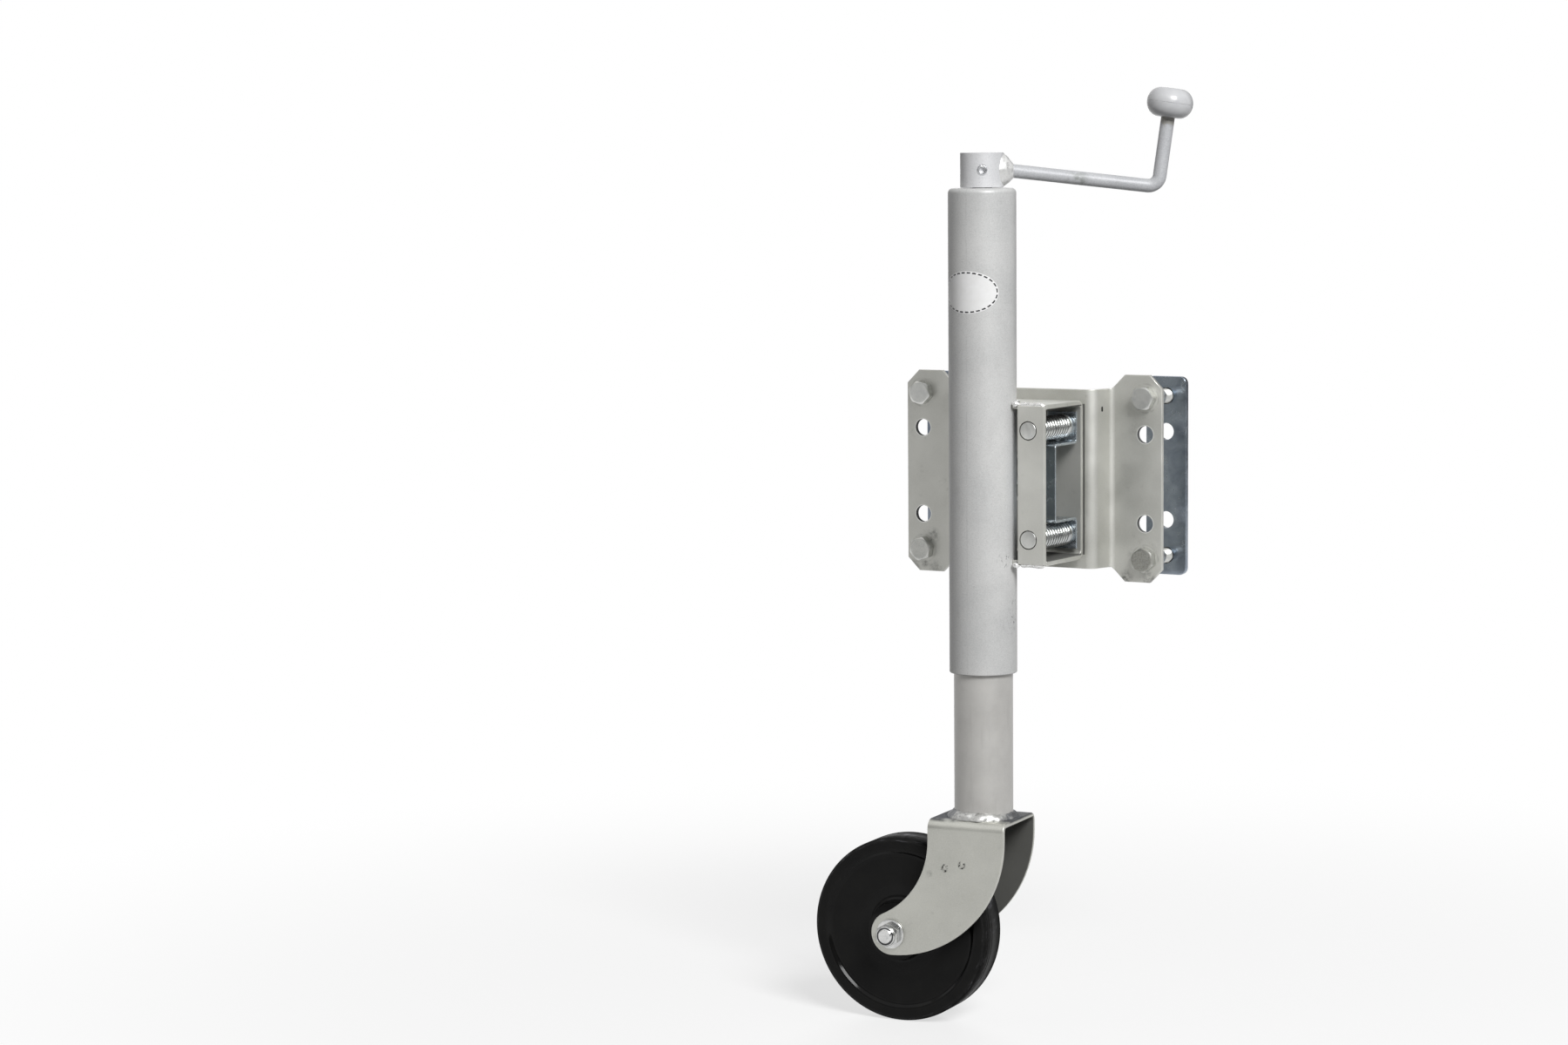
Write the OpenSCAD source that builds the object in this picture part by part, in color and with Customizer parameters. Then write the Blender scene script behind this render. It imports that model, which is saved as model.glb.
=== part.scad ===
// Trailer tongue jack with a swivel mount, a hand crank and a caster wheel.
// Millimetres, +Z up, +X along the tongue, +Y into the tongue.
// The origin is the middle of the mount plate, on the face that lies against the tongue.

/* [Mount plate] */
// Distance between the two columns of bolt holes, along the tongue
hole_pitch_x = 206; // [196:1:226]
// Height between the upper and lower clamp bolts
bolt_pitch_z = 132; // [124:1:150]
// Height between the two spare holes of a column
spare_pitch_z = 73; // [60:1:84]
// Diameter of the bolt holes
bolt_hole_d = 14; // [13:0.5:15]
// Thickness of the mount plate
plate_t = 4; // [3:0.5:5]
// Depth of the pressed step, from flange to web
hat_depth = 22; // [20:1:30]
// Height of the web between the flanges
web_h = 147; // [136:1:160]
// Distance from a hole column to the corner of the web
flange_in = 38; // [34:1:41]
// Sideways run of the sloping wall between web and flange
wall_run = 6; // [4:1:9]
// Distance from a hole column to the outer edge of the flange
flange_edge = 15; // [13:1:20]
// Height of the flange past the clamp bolts
flange_end = 19; // [15:1:24]
// Corner cut of the flange
flange_cut = 11; // [6:1:13]
// Inside radius of the plate's bends
plate_bend_r = 5; // [3:0.5:6]

/* [Clamp on the tongue] */
// Thickness of the tongue that the straps clamp
tongue_w = 36; // [30:1:60]
// Width of a backing strap
strap_w = 36; // [30:1:42]
// Thickness of a backing strap
strap_t = 5; // [4:0.5:8]
// Height of a strap past the clamp bolts
strap_end = 16; // [14:1:22]
// Corner radius of a strap
strap_corner_r = 6; // [3:0.5:10]
// Diameter of the clamp bolts
clamp_d = 12; // [10:0.5:12.5]

/* [Swivel and lock] */
// Side of the square that the lock holes stand on
lock_pitch = 88; // [84:1:96]
// Diameter of the lock pins
pin_d = 14; // [12:0.5:15]
// Play of a lock pin in its hole in the mount plate, on the radius
lock_play = 0.5; // [0.3:0.1:0.8]
// Play of a lock pin in the front plate, on the radius
front_play = 0.8; // [0.3:0.1:1]
// How far the drawn lock pins stand clear of the mount plate
pin_clear = 0.3; // [0.2:0.1:0.6]
// Travel of the pins from drawn to locked
lock_travel = 3.5; // [2:0.5:4]
// Thickness of the swivel frame
frame_t = 4; // [3:0.5:5]
// Depth of the swivel frame with its front plate
frame_depth = 70.5; // [68:0.5:80]
// Height of the frame past a lock pin
frame_over = 21; // [19:0.5:26]
// Width of the frame past the lock pins
frame_edge = 14.5; // [13.5:0.5:20]
// Width of the frame on the far side of the outer tube
frame_left = 24; // [22:0.5:26]
// Width of the front plate
front_plate_w = 24; // [20:0.5:26]
// Thickness of the front plate
front_plate_t = 4; // [3:0.5:5]
// Inside radius of the frame's bends
frame_bend_r = 4; // [2:0.5:6]
// Diameter of the swivel pivot bolt
pivot_d = 20; // [16:0.5:20]
// Thickness of the washers on the pivot bolt
pivot_washer_t = 1.5; // [1:0.1:2.5]
// Diameter of the washers on the pivot bolt
pivot_washer_d = 38; // [36:0.5:44]

/* [Pull handle and springs] */
// Sheet thickness of the pull handle
handle_t = 2; // [1.5:0.1:3]
// Width of the pull handle
handle_w = 26; // [22:0.5:28]
// Depth of the pull handle, from its feet to its grip
handle_depth = 40; // [34:0.5:44]
// Gap between the handle's bends and the spring washers
grip_gap = 0.5; // [0.2:0.1:3]
// Inside radius of the handle's bends
handle_bend_r = 1.5; // [1:0.1:3]
// Play of a lock spring round its pin, on the radius
spring_play = 0.3; // [0.2:0.05:0.6]
// Wire of a lock spring
spring_wire = 2; // [1.6:0.1:2.4]
// Curls of a lock spring
spring_curls = 13; // [8:1:13]
// Thickness of the washer behind a spring
spring_washer_t = 1.5; // [1:0.1:2]

/* [Tubes] */
// Outside diameter of the outer tube
outer_tube_d = 55; // [53:0.5:58]
// Wall of the outer tube
outer_tube_wall = 3; // [2.5:0.1:3.5]
// Length of the outer tube
outer_tube_len = 392; // [370:1:440]
// Length of the outer tube below the middle of the mount plate
tube_below = 154; // [140:1:170]
// Distance from the tongue to the middle of the tubes
tube_back = 92; // [91:0.5:96]
// Rounding of the outer tube's closed top
tube_top_r = 4; // [2:0.5:6]
// Play between the two tubes, on the radius
tube_play = 0.5; // [0.3:0.1:0.7]
// Wall of the inner tube
inner_tube_wall = 3; // [2.5:0.1:3.5]
// Length of the inner tube
inner_tube_len = 364; // [340:1:370]
// Length of the inner tube that shows as stored
inner_tube_out = 118.5; // [110:0.5:140]

/* [Crank] */
// Outside diameter of the crank hub
hub_d = 35; // [32:0.5:40]
// Height of the crank hub
hub_h = 28; // [26:0.5:32]
// Diameter of the roll pin through the hub
roll_pin_d = 8; // [6:0.5:8]
// Bore of the roll pin
roll_pin_bore = 5; // [3:0.5:5]
// Diameter of the crank rod
rod_d = 11; // [9:0.5:12]
// Distance from the tube's middle to the corner of the crank rod
crank_reach = 141; // [120:1:170]
// Slope of the crank arm, down from the hub
arm_drop = 6.7; // [0:0.1:10]
// Lean of the crank's riser, out from upright
riser_lean = 8; // [0:0.1:12]
// Length of the riser, from the rod's corner to the middle of the knob
riser_len = 67.5; // [55:0.5:90]
// Bend radius of the crank rod, to its middle line
rod_bend_r = 8; // [7:0.5:16]
// Length of the weld that joins the arm to the hub
hub_weld_len = 5; // [4:0.5:9]
// Diameter of that weld at the hub
hub_weld_d = 25; // [18:0.5:25]
// Diameter of the knob
knob_d = 37; // [30:0.5:45]
// Height of the knob
knob_h = 23.5; // [20:0.5:30]
// Diameter of the knob's flat ends
knob_flat_d = 16; // [14:0.5:20]
// Direction of the crank as stored, from +X towards the tongue
crank_turn = 28; // [0:1:359]

/* [Screw] */
// Diameter of the lead screw
screw_d = 20; // [18:0.5:22]
// Step from the screw down to its bearing journal, on the radius
screw_step = 2; // [1.5:0.1:3]
// Wall of the lift nut round the screw
nut_wall = 5; // [4:0.5:6]
// Length of the lift nut's body
nut_len = 32; // [28:1:40]
// Thickness of the lift nut's flange
nut_flange_t = 6; // [4:0.5:7]
// Thickness of the ring that seats the nut in the inner tube
nut_seat_t = 12; // [8:0.5:16]
// Thickness of the bearing plate under the tube's top
bearing_plate_t = 8; // [6:0.5:10]
// Outside diameter of the thrust bearing
race_d = 40; // [38:0.5:41]
// Thickness of a bearing race
race_t = 2.5; // [2:0.1:3]
// Diameter of the bearing balls
ball_d = 6; // [5:0.1:7]
// Number of bearing balls
ball_count = 10; // [6:1:11]
// Diameter of the thrust collar
collar_d = 34; // [30:0.5:38]
// Height of the thrust collar
collar_h = 9; // [8:0.5:12]
// Diameter of the pin through the thrust collar
collar_pin_d = 4; // [3:0.5:5]

/* [Fork and wheel] */
// Diameter of the wheel
wheel_d = 152.4; // [140:0.1:170]
// Width of the wheel's rim
wheel_w = 36; // [30:0.5:40]
// Distance from the tube's middle to the axle
trail = 68; // [60:0.5:76]
// Gap over the wheel, under the fork's top
wheel_gap = 16.8; // [10:0.1:24]
// Outside width of the fork
fork_w = 70; // [66:0.5:78]
// Thickness of the fork
fork_t = 4; // [3:0.5:5]
// Front edge of the fork's legs, from the tube's middle
fork_front = 35.5; // [32:0.5:40]
// Back edge of the fork's legs, from the tube's middle
fork_back = 31; // [30:0.5:38]
// Radius of a leg's end round the axle
fork_end_r = 17.8; // [15:0.1:19]
// Inside radius of the fork's bends
fork_bend_r = 4; // [3:0.5:6]
// Diameter of the axle bolt
axle_d = 12; // [10:0.5:12.5]
// Wall of the axle sleeve
sleeve_wall = 3; // [2:0.1:4]
// Wall of the wheel's bush
bush_wall = 2.5; // [1.5:0.1:4]
// Thickness of the washers beside the wheel's hub
side_washer_t = 3.5; // [2:0.1:5]
// Diameter of the washers beside the wheel's hub
side_washer_d = 32; // [28:0.5:40]
// Diameter of the wheel's hub
wheel_hub_d = 48; // [40:0.5:54]
// Depth of the recess in the wheel's faces
wheel_recess = 2.5; // [1:0.1:5]
// Width of the rim's side band
wheel_band = 11; // [8:0.5:16]
// Rounding of the wheel's tread edges
tread_edge_r = 4; // [2:0.5:6]
// Fine grooves round the tread
tread_grooves = 3; // [1:1:5]
// Turn of the caster as stored, about the tube's middle
caster_turn = 5.5; // [-30:0.5:30]

/* [Hidden] */
$fn = 96;

// Finishes
silver_paint = [0.78, 0.78, 0.79];
olive_silver = [0.66, 0.66, 0.62];
zinc = [0.74, 0.77, 0.80];
dark_steel = [0.45, 0.46, 0.48];
black_plastic = [0.05, 0.05, 0.06];
white_nylon = [0.85, 0.85, 0.82];

// Clearances
run_fit = 0.08;
seat_fit = 0.05;
hub_gap = 0.4;
face_gap = 0.2;
spring_gap = 0.1;
edge_gap = 1;
cut = 1;

// Fastener proportions, from the diameter of the thread
function head_af(d) = 1.5 * d;
function head_h(d) = 0.63 * d;
function nut_h(d) = 0.83 * d;
function washer_d(d) = 2 * d;
function washer_t(d) = 0.2 * d;
hex_round = 0.94;
hex_chamfer = 0.2;
thread_out = 4;
lock_nut_hex = 0.72;
lock_ring_wall = 1.2;
axle_out = 1.5;

// Mount plate
half_pitch_x = hole_pitch_x / 2;
web_half_w = half_pitch_x - flange_in;
web_front_y = -plate_t - hat_depth;
flange_half_h = bolt_pitch_z / 2 + flange_end;
plate_half_w = half_pitch_x + flange_edge;
lock_hole_d = pin_d + 2 * lock_play;

// Clamp
strap_y = tongue_w;
strap_half_h = bolt_pitch_z / 2 + strap_end;

// Swivel frame: its back face stands one washer off the mount plate's web
lock_half = lock_pitch / 2;
frame_back_y = web_front_y - pivot_washer_t;
frame_front_y = frame_back_y - frame_depth;
legs_front_y = frame_front_y + front_plate_t;
back_plate_y = frame_back_y - frame_t;
frame_half_h = lock_half + frame_over;
frame_right = lock_half + frame_edge;
weld_ledge = 1;

// Lock pins, flush with the front plate, and the pull handle on them
pin_tip_y = web_front_y - pin_clear;
foot_back_y = back_plate_y - lock_travel - pin_clear;
foot_front_y = foot_back_y - handle_t;
grip_front_y = foot_back_y - handle_depth;
rings_per_curl = 8;
spring_r = (pin_d / 2 + spring_play + spring_wire / 2) / cos(180 / rings_per_curl);
spring_d = 2 * spring_r + spring_wire;
foot_margin = 2;
foot_half_h = lock_half + spring_d / 2 + foot_margin;
grip_half_h = lock_half - spring_d / 2 - grip_gap - handle_bend_r - handle_t;
spring_back_y = foot_front_y - spring_washer_t - spring_gap;
spring_len = spring_back_y - legs_front_y;

// Tubes
tube_r = outer_tube_d / 2;
tube_bore_r = tube_r - outer_tube_wall;
inner_r = tube_bore_r - tube_play;
inner_bore_r = inner_r - inner_tube_wall;
tube_low_z = -tube_below;
tube_top_z = tube_low_z + outer_tube_len;
fork_top_z = tube_low_z - inner_tube_out;
inner_top_z = fork_top_z + inner_tube_len;

// Screw and thrust bearing, stacked down from the tube's closed top
screw_r = screw_d / 2;
journal_r = screw_r - screw_step;
plate_top_z = tube_top_z - outer_tube_wall;
race_top_z = plate_top_z - bearing_plate_t;
ball_z = race_top_z - race_t - ball_d / 2 - spring_gap;
low_race_top_z = ball_z - ball_d / 2 - spring_gap;
collar_top_z = low_race_top_z - race_t;
collar_low_z = collar_top_z - collar_h;
ball_circle_r = (race_d / 2 + journal_r) / 2;
nut_r = screw_r + nut_wall;
clip_t = 2;
lift_extend = 148;
screw_spare = 12;
screw_low_z = inner_top_z - nut_len - lift_extend - screw_spare;

// Crank
hub_low_z = tube_top_z + hub_gap;
hub_mid_z = hub_low_z + hub_h / 2;
hub_r = hub_d / 2;
screw_recess = 1.5;
roll_pin_slot = 1;
arm_dir = [cos(arm_drop), -sin(arm_drop)];
riser_dir = [sin(riser_lean), cos(riser_lean)];
bend_angle = 90 + arm_drop - riser_lean;
bend_cut = rod_bend_r * tan(bend_angle / 2);
bend_lap = 0.4;
rod_corner = [crank_reach, hub_mid_z - (crank_reach - hub_r) * tan(arm_drop)];
knob_cap = 4;
weld_from = (hub_r + 2 * face_gap) / cos(arm_drop) + hub_weld_d / 2 * tan(arm_drop);

// Fork and wheel
axle_z = fork_top_z - fork_t - wheel_gap - wheel_d / 2;
fork_in_w = fork_w - 2 * fork_t;
side_play = 0.5;
wheel_hub_len = fork_in_w - 2 * (side_washer_t + side_play);
sleeve_r = axle_d / 2 + seat_fit + sleeve_wall;
bush_r = sleeve_r + run_fit + bush_wall;
axle_nut_z = fork_w / 2 + washer_t(axle_d);
axle_hex_h = lock_nut_hex * nut_h(axle_d);
leg_front_straight = 18;
leg_back_straight = 15;

// Heights of the two holes of a pair
function column(pitch_z) = [for (z = [-pitch_z / 2, pitch_z / 2]) z];

// Points of an arc about a centre, from one angle to another
function arc(centre, r, from, to, steps = 10) =
    [for (i = [0:steps]) let (a = from + (to - from) * i / steps) centre + r * [cos(a), sin(a)]];

// Outline of a rectangle with rounded corners
function rounded(w, h, r) = concat(
    arc([w / 2 - r, h / 2 - r], r, 0, 90),
    arc([r - w / 2, h / 2 - r], r, 90, 180),
    arc([r - w / 2, r - h / 2], r, 180, 270),
    arc([w / 2 - r, r - h / 2], r, 270, 360));

function unit(v) = v / norm(v);
function left_of(v) = [-v[1], v[0]];
function turned(v, a) = [v[0] * cos(a) - v[1] * sin(a), v[0] * sin(a) + v[1] * cos(a)];

// Middle line of a bent sheet at one corner: pairs of a point and its left normal
function sheet_corner(a, b, c, r, steps = 6) = let (
        u = unit(b - a),
        v = unit(c - b),
        side = u[0] * v[1] - u[1] * v[0] > 0 ? 1 : -1,
        angle = acos(u * v),
        first = b - u * r * tan(angle / 2),
        centre = first + side * r * left_of(u))
    [for (i = [0:steps]) let (t = side * angle * i / steps)
        [centre - side * r * turned(left_of(u), t), turned(left_of(u), t)]];

// Outline of a sheet of thickness t that follows a line of corners, bent at the inside radius r
function sheet(line, t, r) = let (
        last = len(line) - 1,
        middle = concat(
            [[line[0], left_of(unit(line[1] - line[0]))]],
            [for (i = [1:last - 1]) each sheet_corner(line[i - 1], line[i], line[i + 1], r + t / 2)],
            [[line[last], left_of(unit(line[last] - line[last - 1]))]]))
    concat(
        [for (m = middle) m[0] + m[1] * t / 2],
        [for (i = [len(middle) - 1:-1:0]) middle[i][0] - middle[i][1] * t / 2]);

// Frames of the moving groups
module at_tube() translate([0, -tube_back, 0]) children();
module at_crank() at_tube() rotate([0, 0, crank_turn]) children();
module at_caster() at_tube() rotate([0, 0, caster_turn]) children();
module at_axle() at_caster() translate([-trail, 0, axle_z]) rotate([90, 0, 0]) children();
module at_knob() at_crank()
    translate([rod_corner[0], 0, rod_corner[1]]) rotate([0, riser_lean, 0]) translate([0, 0, riser_len])
    children();

// Extrudes an outline drawn in Y and Z along X
module along_x(from, to) translate([from, 0, 0]) rotate([90, 0, 90]) linear_extrude(to - from) children();

// Extrudes an outline drawn in X and Z along Y
module along_y(from, to) translate([0, to, 0]) rotate([90, 0, 0]) linear_extrude(to - from) children();

// A round bar or hole along Y
module bar_y(d, x, z, from, to) translate([x, from, z]) rotate([-90, 0, 0]) cylinder(d = d, h = to - from);

module ring(r_out, r_in, z, h) translate([0, 0, z]) difference() {
    cylinder(r = r_out, h = h);
    translate([0, 0, -cut]) cylinder(r = r_in, h = h + 2 * cut);
}

// A hexagon with its corners rounded off at the top, standing on Z = 0
module hex_head(af, h) intersection() {
    rotate([0, 0, 30]) cylinder(d = af / cos(30), h = h, $fn = 6);
    rotate_extrude() polygon([[0, 0], [af, 0], [af, h - af * hex_chamfer], [af * hex_round / 2, h], [0, h]]);
}

// A bolt along +Z with the underside of its head at Z = 0
module hex_bolt(d, length) {
    mirror([0, 0, 1]) hex_head(head_af(d), head_h(d));
    cylinder(d = d, h = length);
}

module hex_nut(d, h) difference() {
    hex_head(head_af(d), h);
    translate([0, 0, -cut]) cylinder(d = d + 2 * seat_fit, h = h + 2 * cut);
}

module flat_washer(d_out, d_in, t) ring(d_out / 2, d_in / 2, 0, t);

// Places the same piece at the four clamp bolts, with +Z along +Y
module at_clamp_bolts(y)
    for (x = [-half_pitch_x, half_pitch_x], z = column(bolt_pitch_z))
        translate([x, y, z]) rotate([-90, 0, 0]) children();

// Mount

module mount_plate() color(olive_silver) {
    corner = [web_half_w + wall_run, -plate_t / 2];
    web_corner = [web_half_w, web_front_y + plate_t / 2];
    line = [[-plate_half_w, corner[1]], [-corner[0], corner[1]], [-web_corner[0], web_corner[1]],
        web_corner, corner, [plate_half_w, corner[1]]];
    ear_in = corner[0] + plate_t / 2;
    step_z = flange_half_h - web_h / 2;
    right = [[ear_in, web_h / 2], [ear_in + step_z, flange_half_h],
        [plate_half_w - flange_cut, flange_half_h], [plate_half_w, flange_half_h - flange_cut]];
    upper = concat([for (i = [len(right) - 1:-1:0]) [-right[i][0], right[i][1]]], right);
    outline = concat(upper, [for (i = [len(upper) - 1:-1:0]) [upper[i][0], -upper[i][1]]]);
    difference() {
        intersection() {
            translate([0, 0, -flange_half_h]) linear_extrude(2 * flange_half_h)
                polygon(sheet(line, plate_t, plate_bend_r));
            along_y(web_front_y - cut, cut) polygon(outline);
        }
        for (x = [-half_pitch_x, half_pitch_x], z = concat(column(bolt_pitch_z), column(spare_pitch_z)))
            bar_y(bolt_hole_d, x, z, -plate_t - cut, cut);
        for (x = [-lock_half, lock_half], z = column(lock_pitch))
            bar_y(lock_hole_d, x, z, web_front_y - cut, web_front_y + plate_t + cut);
        bar_y(pivot_d + 2 * seat_fit, 0, 0, web_front_y - cut, web_front_y + plate_t + cut);
    }
}

module strap(x) color(zinc) difference() {
    translate([x, 0, 0]) along_y(strap_y, strap_y + strap_t)
        polygon(rounded(strap_w, 2 * strap_half_h, strap_corner_r));
    for (z = concat(column(bolt_pitch_z), column(spare_pitch_z)))
        bar_y(bolt_hole_d, x, z, strap_y - cut, strap_y + strap_t + cut);
}

module left_strap() strap(-half_pitch_x);

module right_strap() strap(half_pitch_x);

module clamp_bolts() color(zinc) {
    nut_y = strap_y + strap_t + washer_t(clamp_d);
    at_clamp_bolts(-plate_t) hex_bolt(clamp_d, plate_t + nut_y + nut_h(clamp_d) + thread_out);
}

module clamp_washers() color(zinc)
    at_clamp_bolts(strap_y + strap_t)
        flat_washer(washer_d(clamp_d), clamp_d + 2 * seat_fit, washer_t(clamp_d));

module clamp_nuts() color(zinc)
    at_clamp_bolts(strap_y + strap_t + washer_t(clamp_d)) hex_nut(clamp_d, nut_h(clamp_d));

// The pivot bolt's head lies in the hollow of the mount plate, its nut behind the outer tube
module pivot_bolt() color(zinc) {
    reach = plate_t + pivot_washer_t + frame_t + pivot_washer_t + nut_h(pivot_d) + face_gap + thread_out / 2;
    translate([0, web_front_y + plate_t, 0]) rotate([90, 0, 0]) hex_bolt(pivot_d, reach);
}

module pivot_spacer() color(zinc)
    translate([0, web_front_y, 0]) rotate([90, 0, 0])
        flat_washer(pivot_washer_d, pivot_d + 2 * seat_fit, pivot_washer_t - face_gap / 2);

module pivot_washer() color(zinc)
    translate([0, back_plate_y - face_gap / 2, 0]) rotate([90, 0, 0])
        flat_washer(pivot_washer_d, pivot_d + 2 * seat_fit, pivot_washer_t);

module pivot_nut() color(zinc)
    translate([0, back_plate_y - face_gap / 2 - pivot_washer_t, 0]) rotate([90, 0, 0])
        hex_nut(pivot_d, nut_h(pivot_d));

// Jack body

// The outer tube, spun over at the top to a round opening
module outer_tube() color(silver_paint) at_tube() rotate_extrude() polygon(concat(
    [[tube_bore_r, tube_low_z], [tube_r, tube_low_z]],
    arc([tube_r - tube_top_r, tube_top_z - tube_top_r], tube_top_r, 0, 90, 8),
    [[journal_r + edge_gap, tube_top_z], [journal_r + edge_gap, plate_top_z], [tube_bore_r, plate_top_z]]));

module bearing_plate() color(dark_steel) at_tube()
    ring(tube_bore_r - seat_fit, journal_r + run_fit, race_top_z, bearing_plate_t);

module upper_race() color(dark_steel) at_tube()
    ring(race_d / 2, journal_r + face_gap, race_top_z - race_t, race_t);

// One strip bent to a channel: its legs are cut to the outer tube, and its back turns on the pivot bolt
module swivel_frame() color(olive_silver) {
    y = frame_back_y - frame_t / 2;
    z = frame_half_h - frame_t / 2;
    line = [[legs_front_y, z], [y, z], [y, -z], [legs_front_y, -z]];
    difference() {
        along_x(-frame_left, frame_right) polygon(sheet(line, frame_t, frame_bend_r));
        at_tube() translate([0, 0, -frame_half_h - cut]) cylinder(r = tube_r, h = 2 * (frame_half_h + cut));
        translate([-frame_left - cut, legs_front_y - cut, -frame_half_h - cut])
            cube([frame_left + cut, cut - tube_back - legs_front_y, 2 * (frame_half_h + cut)]);
        bar_y(pivot_d + 2 * run_fit, 0, 0, back_plate_y - cut, frame_back_y + cut);
        for (z = column(lock_pitch))
            bar_y(pin_d + 2 * face_gap, lock_half, z, back_plate_y - cut, frame_back_y + cut);
    }
}

// The front plate is set a little short of the legs, which leaves a ledge for its welds
module front_plate() color(olive_silver) difference() {
    half_h = frame_half_h - weld_ledge;
    translate([frame_right - front_plate_w, frame_front_y, -half_h])
        cube([front_plate_w, front_plate_t, 2 * half_h]);
    for (z = column(lock_pitch))
        bar_y(pin_d + 2 * front_play, lock_half, z, frame_front_y - cut, legs_front_y + cut);
}

// Crank and screw

module crank_hub() color(silver_paint) at_crank() difference() {
    ring(hub_r, journal_r + seat_fit, hub_low_z, hub_h);
    bar_y(roll_pin_d + 2 * seat_fit, 0, hub_mid_z, -hub_d, hub_d);
}

// The bent rod with the weld that joins it to the hub. The bend is a hair thicker, so the straights end in it.
module crank_arm() color(silver_paint) at_crank() difference() {
    rotate([90, 0, 0]) {
        straight = rod_corner - arm_dir * bend_cut;
        start = [0, rod_corner[1] + rod_corner[0] * tan(arm_drop)];
        arm_len = norm(straight - start);
        translate(start) rotate([0, 90, -arm_drop]) rotate_extrude() polygon([
            [0, hub_r / 2], [hub_weld_d / 2, hub_r / 2], [hub_weld_d / 2, weld_from],
            [rod_d / 2, weld_from + hub_weld_len], [rod_d / 2, arm_len + bend_lap], [0, arm_len + bend_lap]]);
        translate(straight + rod_bend_r * left_of(arm_dir))
            rotate([0, 0, -90 - arm_drop]) rotate_extrude(angle = bend_angle)
                translate([rod_bend_r, 0]) circle(d = rod_d + 2 * seat_fit);
        translate(rod_corner + riser_dir * (bend_cut - bend_lap)) rotate([0, 90, 90 - riser_lean])
            cylinder(d = rod_d, h = riser_len + knob_h / 2 - knob_cap - bend_cut + bend_lap);
    }
    translate([0, 0, hub_low_z - hub_h]) cylinder(r = hub_r, h = 3 * hub_h);
}

// A rolled spring pin with its slot upwards
module roll_pin() color(zinc) at_crank() difference() {
    bar_y(roll_pin_d, 0, hub_mid_z, -hub_r, hub_r);
    bar_y(roll_pin_bore, 0, hub_mid_z, -hub_d, hub_d);
    translate([-roll_pin_slot / 2, -hub_d, hub_mid_z]) cube([roll_pin_slot, 2 * hub_d, roll_pin_d]);
}

module lead_screw() color(dark_steel) at_crank() difference() {
    union() {
        translate([0, 0, collar_low_z])
            cylinder(r = journal_r, h = hub_low_z + hub_h - screw_recess - collar_low_z);
        translate([0, 0, screw_low_z]) cylinder(r = screw_r, h = collar_low_z - screw_low_z);
    }
    bar_y(roll_pin_d + 2 * seat_fit, 0, hub_mid_z, -hub_d, hub_d);
    bar_y(collar_pin_d + 2 * seat_fit, 0, collar_low_z + collar_h / 2, -collar_d, collar_d);
}

module thrust_collar() color(dark_steel) at_crank() difference() {
    ring(collar_d / 2, journal_r + seat_fit, collar_low_z, collar_h);
    bar_y(collar_pin_d + 2 * seat_fit, 0, collar_low_z + collar_h / 2, -collar_d, collar_d);
}

module collar_pin() color(zinc) at_crank()
    bar_y(collar_pin_d, 0, collar_low_z + collar_h / 2, -collar_d / 2 + edge_gap, collar_d / 2 - edge_gap);

module lower_race() color(dark_steel) at_tube()
    ring(race_d / 2, journal_r + face_gap, low_race_top_z - race_t, race_t);

module around_race() for (i = [0:ball_count - 1])
    rotate([0, 0, 360 * i / ball_count]) translate([ball_circle_r, 0, ball_z]) children();

module bearing_balls() color(zinc) at_tube() around_race() sphere(d = ball_d);

module ball_cage() color("goldenrod") at_tube() difference() {
    ring(race_d / 2 - edge_gap, journal_r + edge_gap, ball_z - ball_d / 6, ball_d / 3);
    around_race() translate([0, 0, -ball_d]) cylinder(d = ball_d + 2 * face_gap, h = 2 * ball_d);
}

// A turned knob with a blind bore for the riser
module knob() color(silver_paint) at_knob() difference() {
    flat = knob_flat_d / 2;
    rotate_extrude() polygon(concat(
        [[0, -knob_h / 2]],
        [for (a = [-90:9:90]) [flat + (knob_d / 2 - flat) * cos(a), knob_h / 2 * sin(a)]],
        [[0, knob_h / 2]]));
    translate([0, 0, -knob_h]) cylinder(d = rod_d + 2 * run_fit, h = 1.5 * knob_h - knob_cap + run_fit);
}

// Lift

module lift_nut() color("darkgoldenrod") at_tube() difference() {
    union() {
        translate([0, 0, inner_top_z + face_gap - nut_len]) cylinder(r = nut_r, h = nut_len);
        translate([0, 0, inner_top_z + face_gap]) cylinder(r = inner_r - edge_gap, h = nut_flange_t);
    }
    translate([0, 0, inner_top_z - 2 * nut_len]) cylinder(r = screw_r + run_fit, h = 4 * nut_len);
}

module nut_clip() color(zinc) at_tube()
    ring((nut_r + inner_bore_r) / 2, nut_r + seat_fit, inner_top_z - nut_seat_t - face_gap - clip_t, clip_t);

module inner_tube() color(olive_silver) at_caster() ring(inner_r, inner_bore_r, fork_top_z, inner_tube_len);

module nut_seat() color(dark_steel) at_caster()
    ring(inner_bore_r - seat_fit, nut_r + run_fit, inner_top_z - nut_seat_t, nut_seat_t);

// Fork: a strip bent over the wheel, with legs that sweep forward to the axle
module fork() color(olive_silver) at_caster() {
    y = fork_w / 2 - fork_t / 2;
    top = fork_top_z - fork_t / 2;
    low = axle_z - 2 * fork_end_r;
    difference() {
        intersection() {
            along_x(-trail - 2 * fork_end_r, fork_back + cut)
                polygon(sheet([[-y, low], [-y, top], [y, top], [y, low]], fork_t, fork_bend_r));
            along_y(-fork_w, fork_w) polygon(fork_outline());
        }
        bar_y(axle_d + 2 * seat_fit, -trail, axle_z, -fork_w, fork_w);
    }
}

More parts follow.
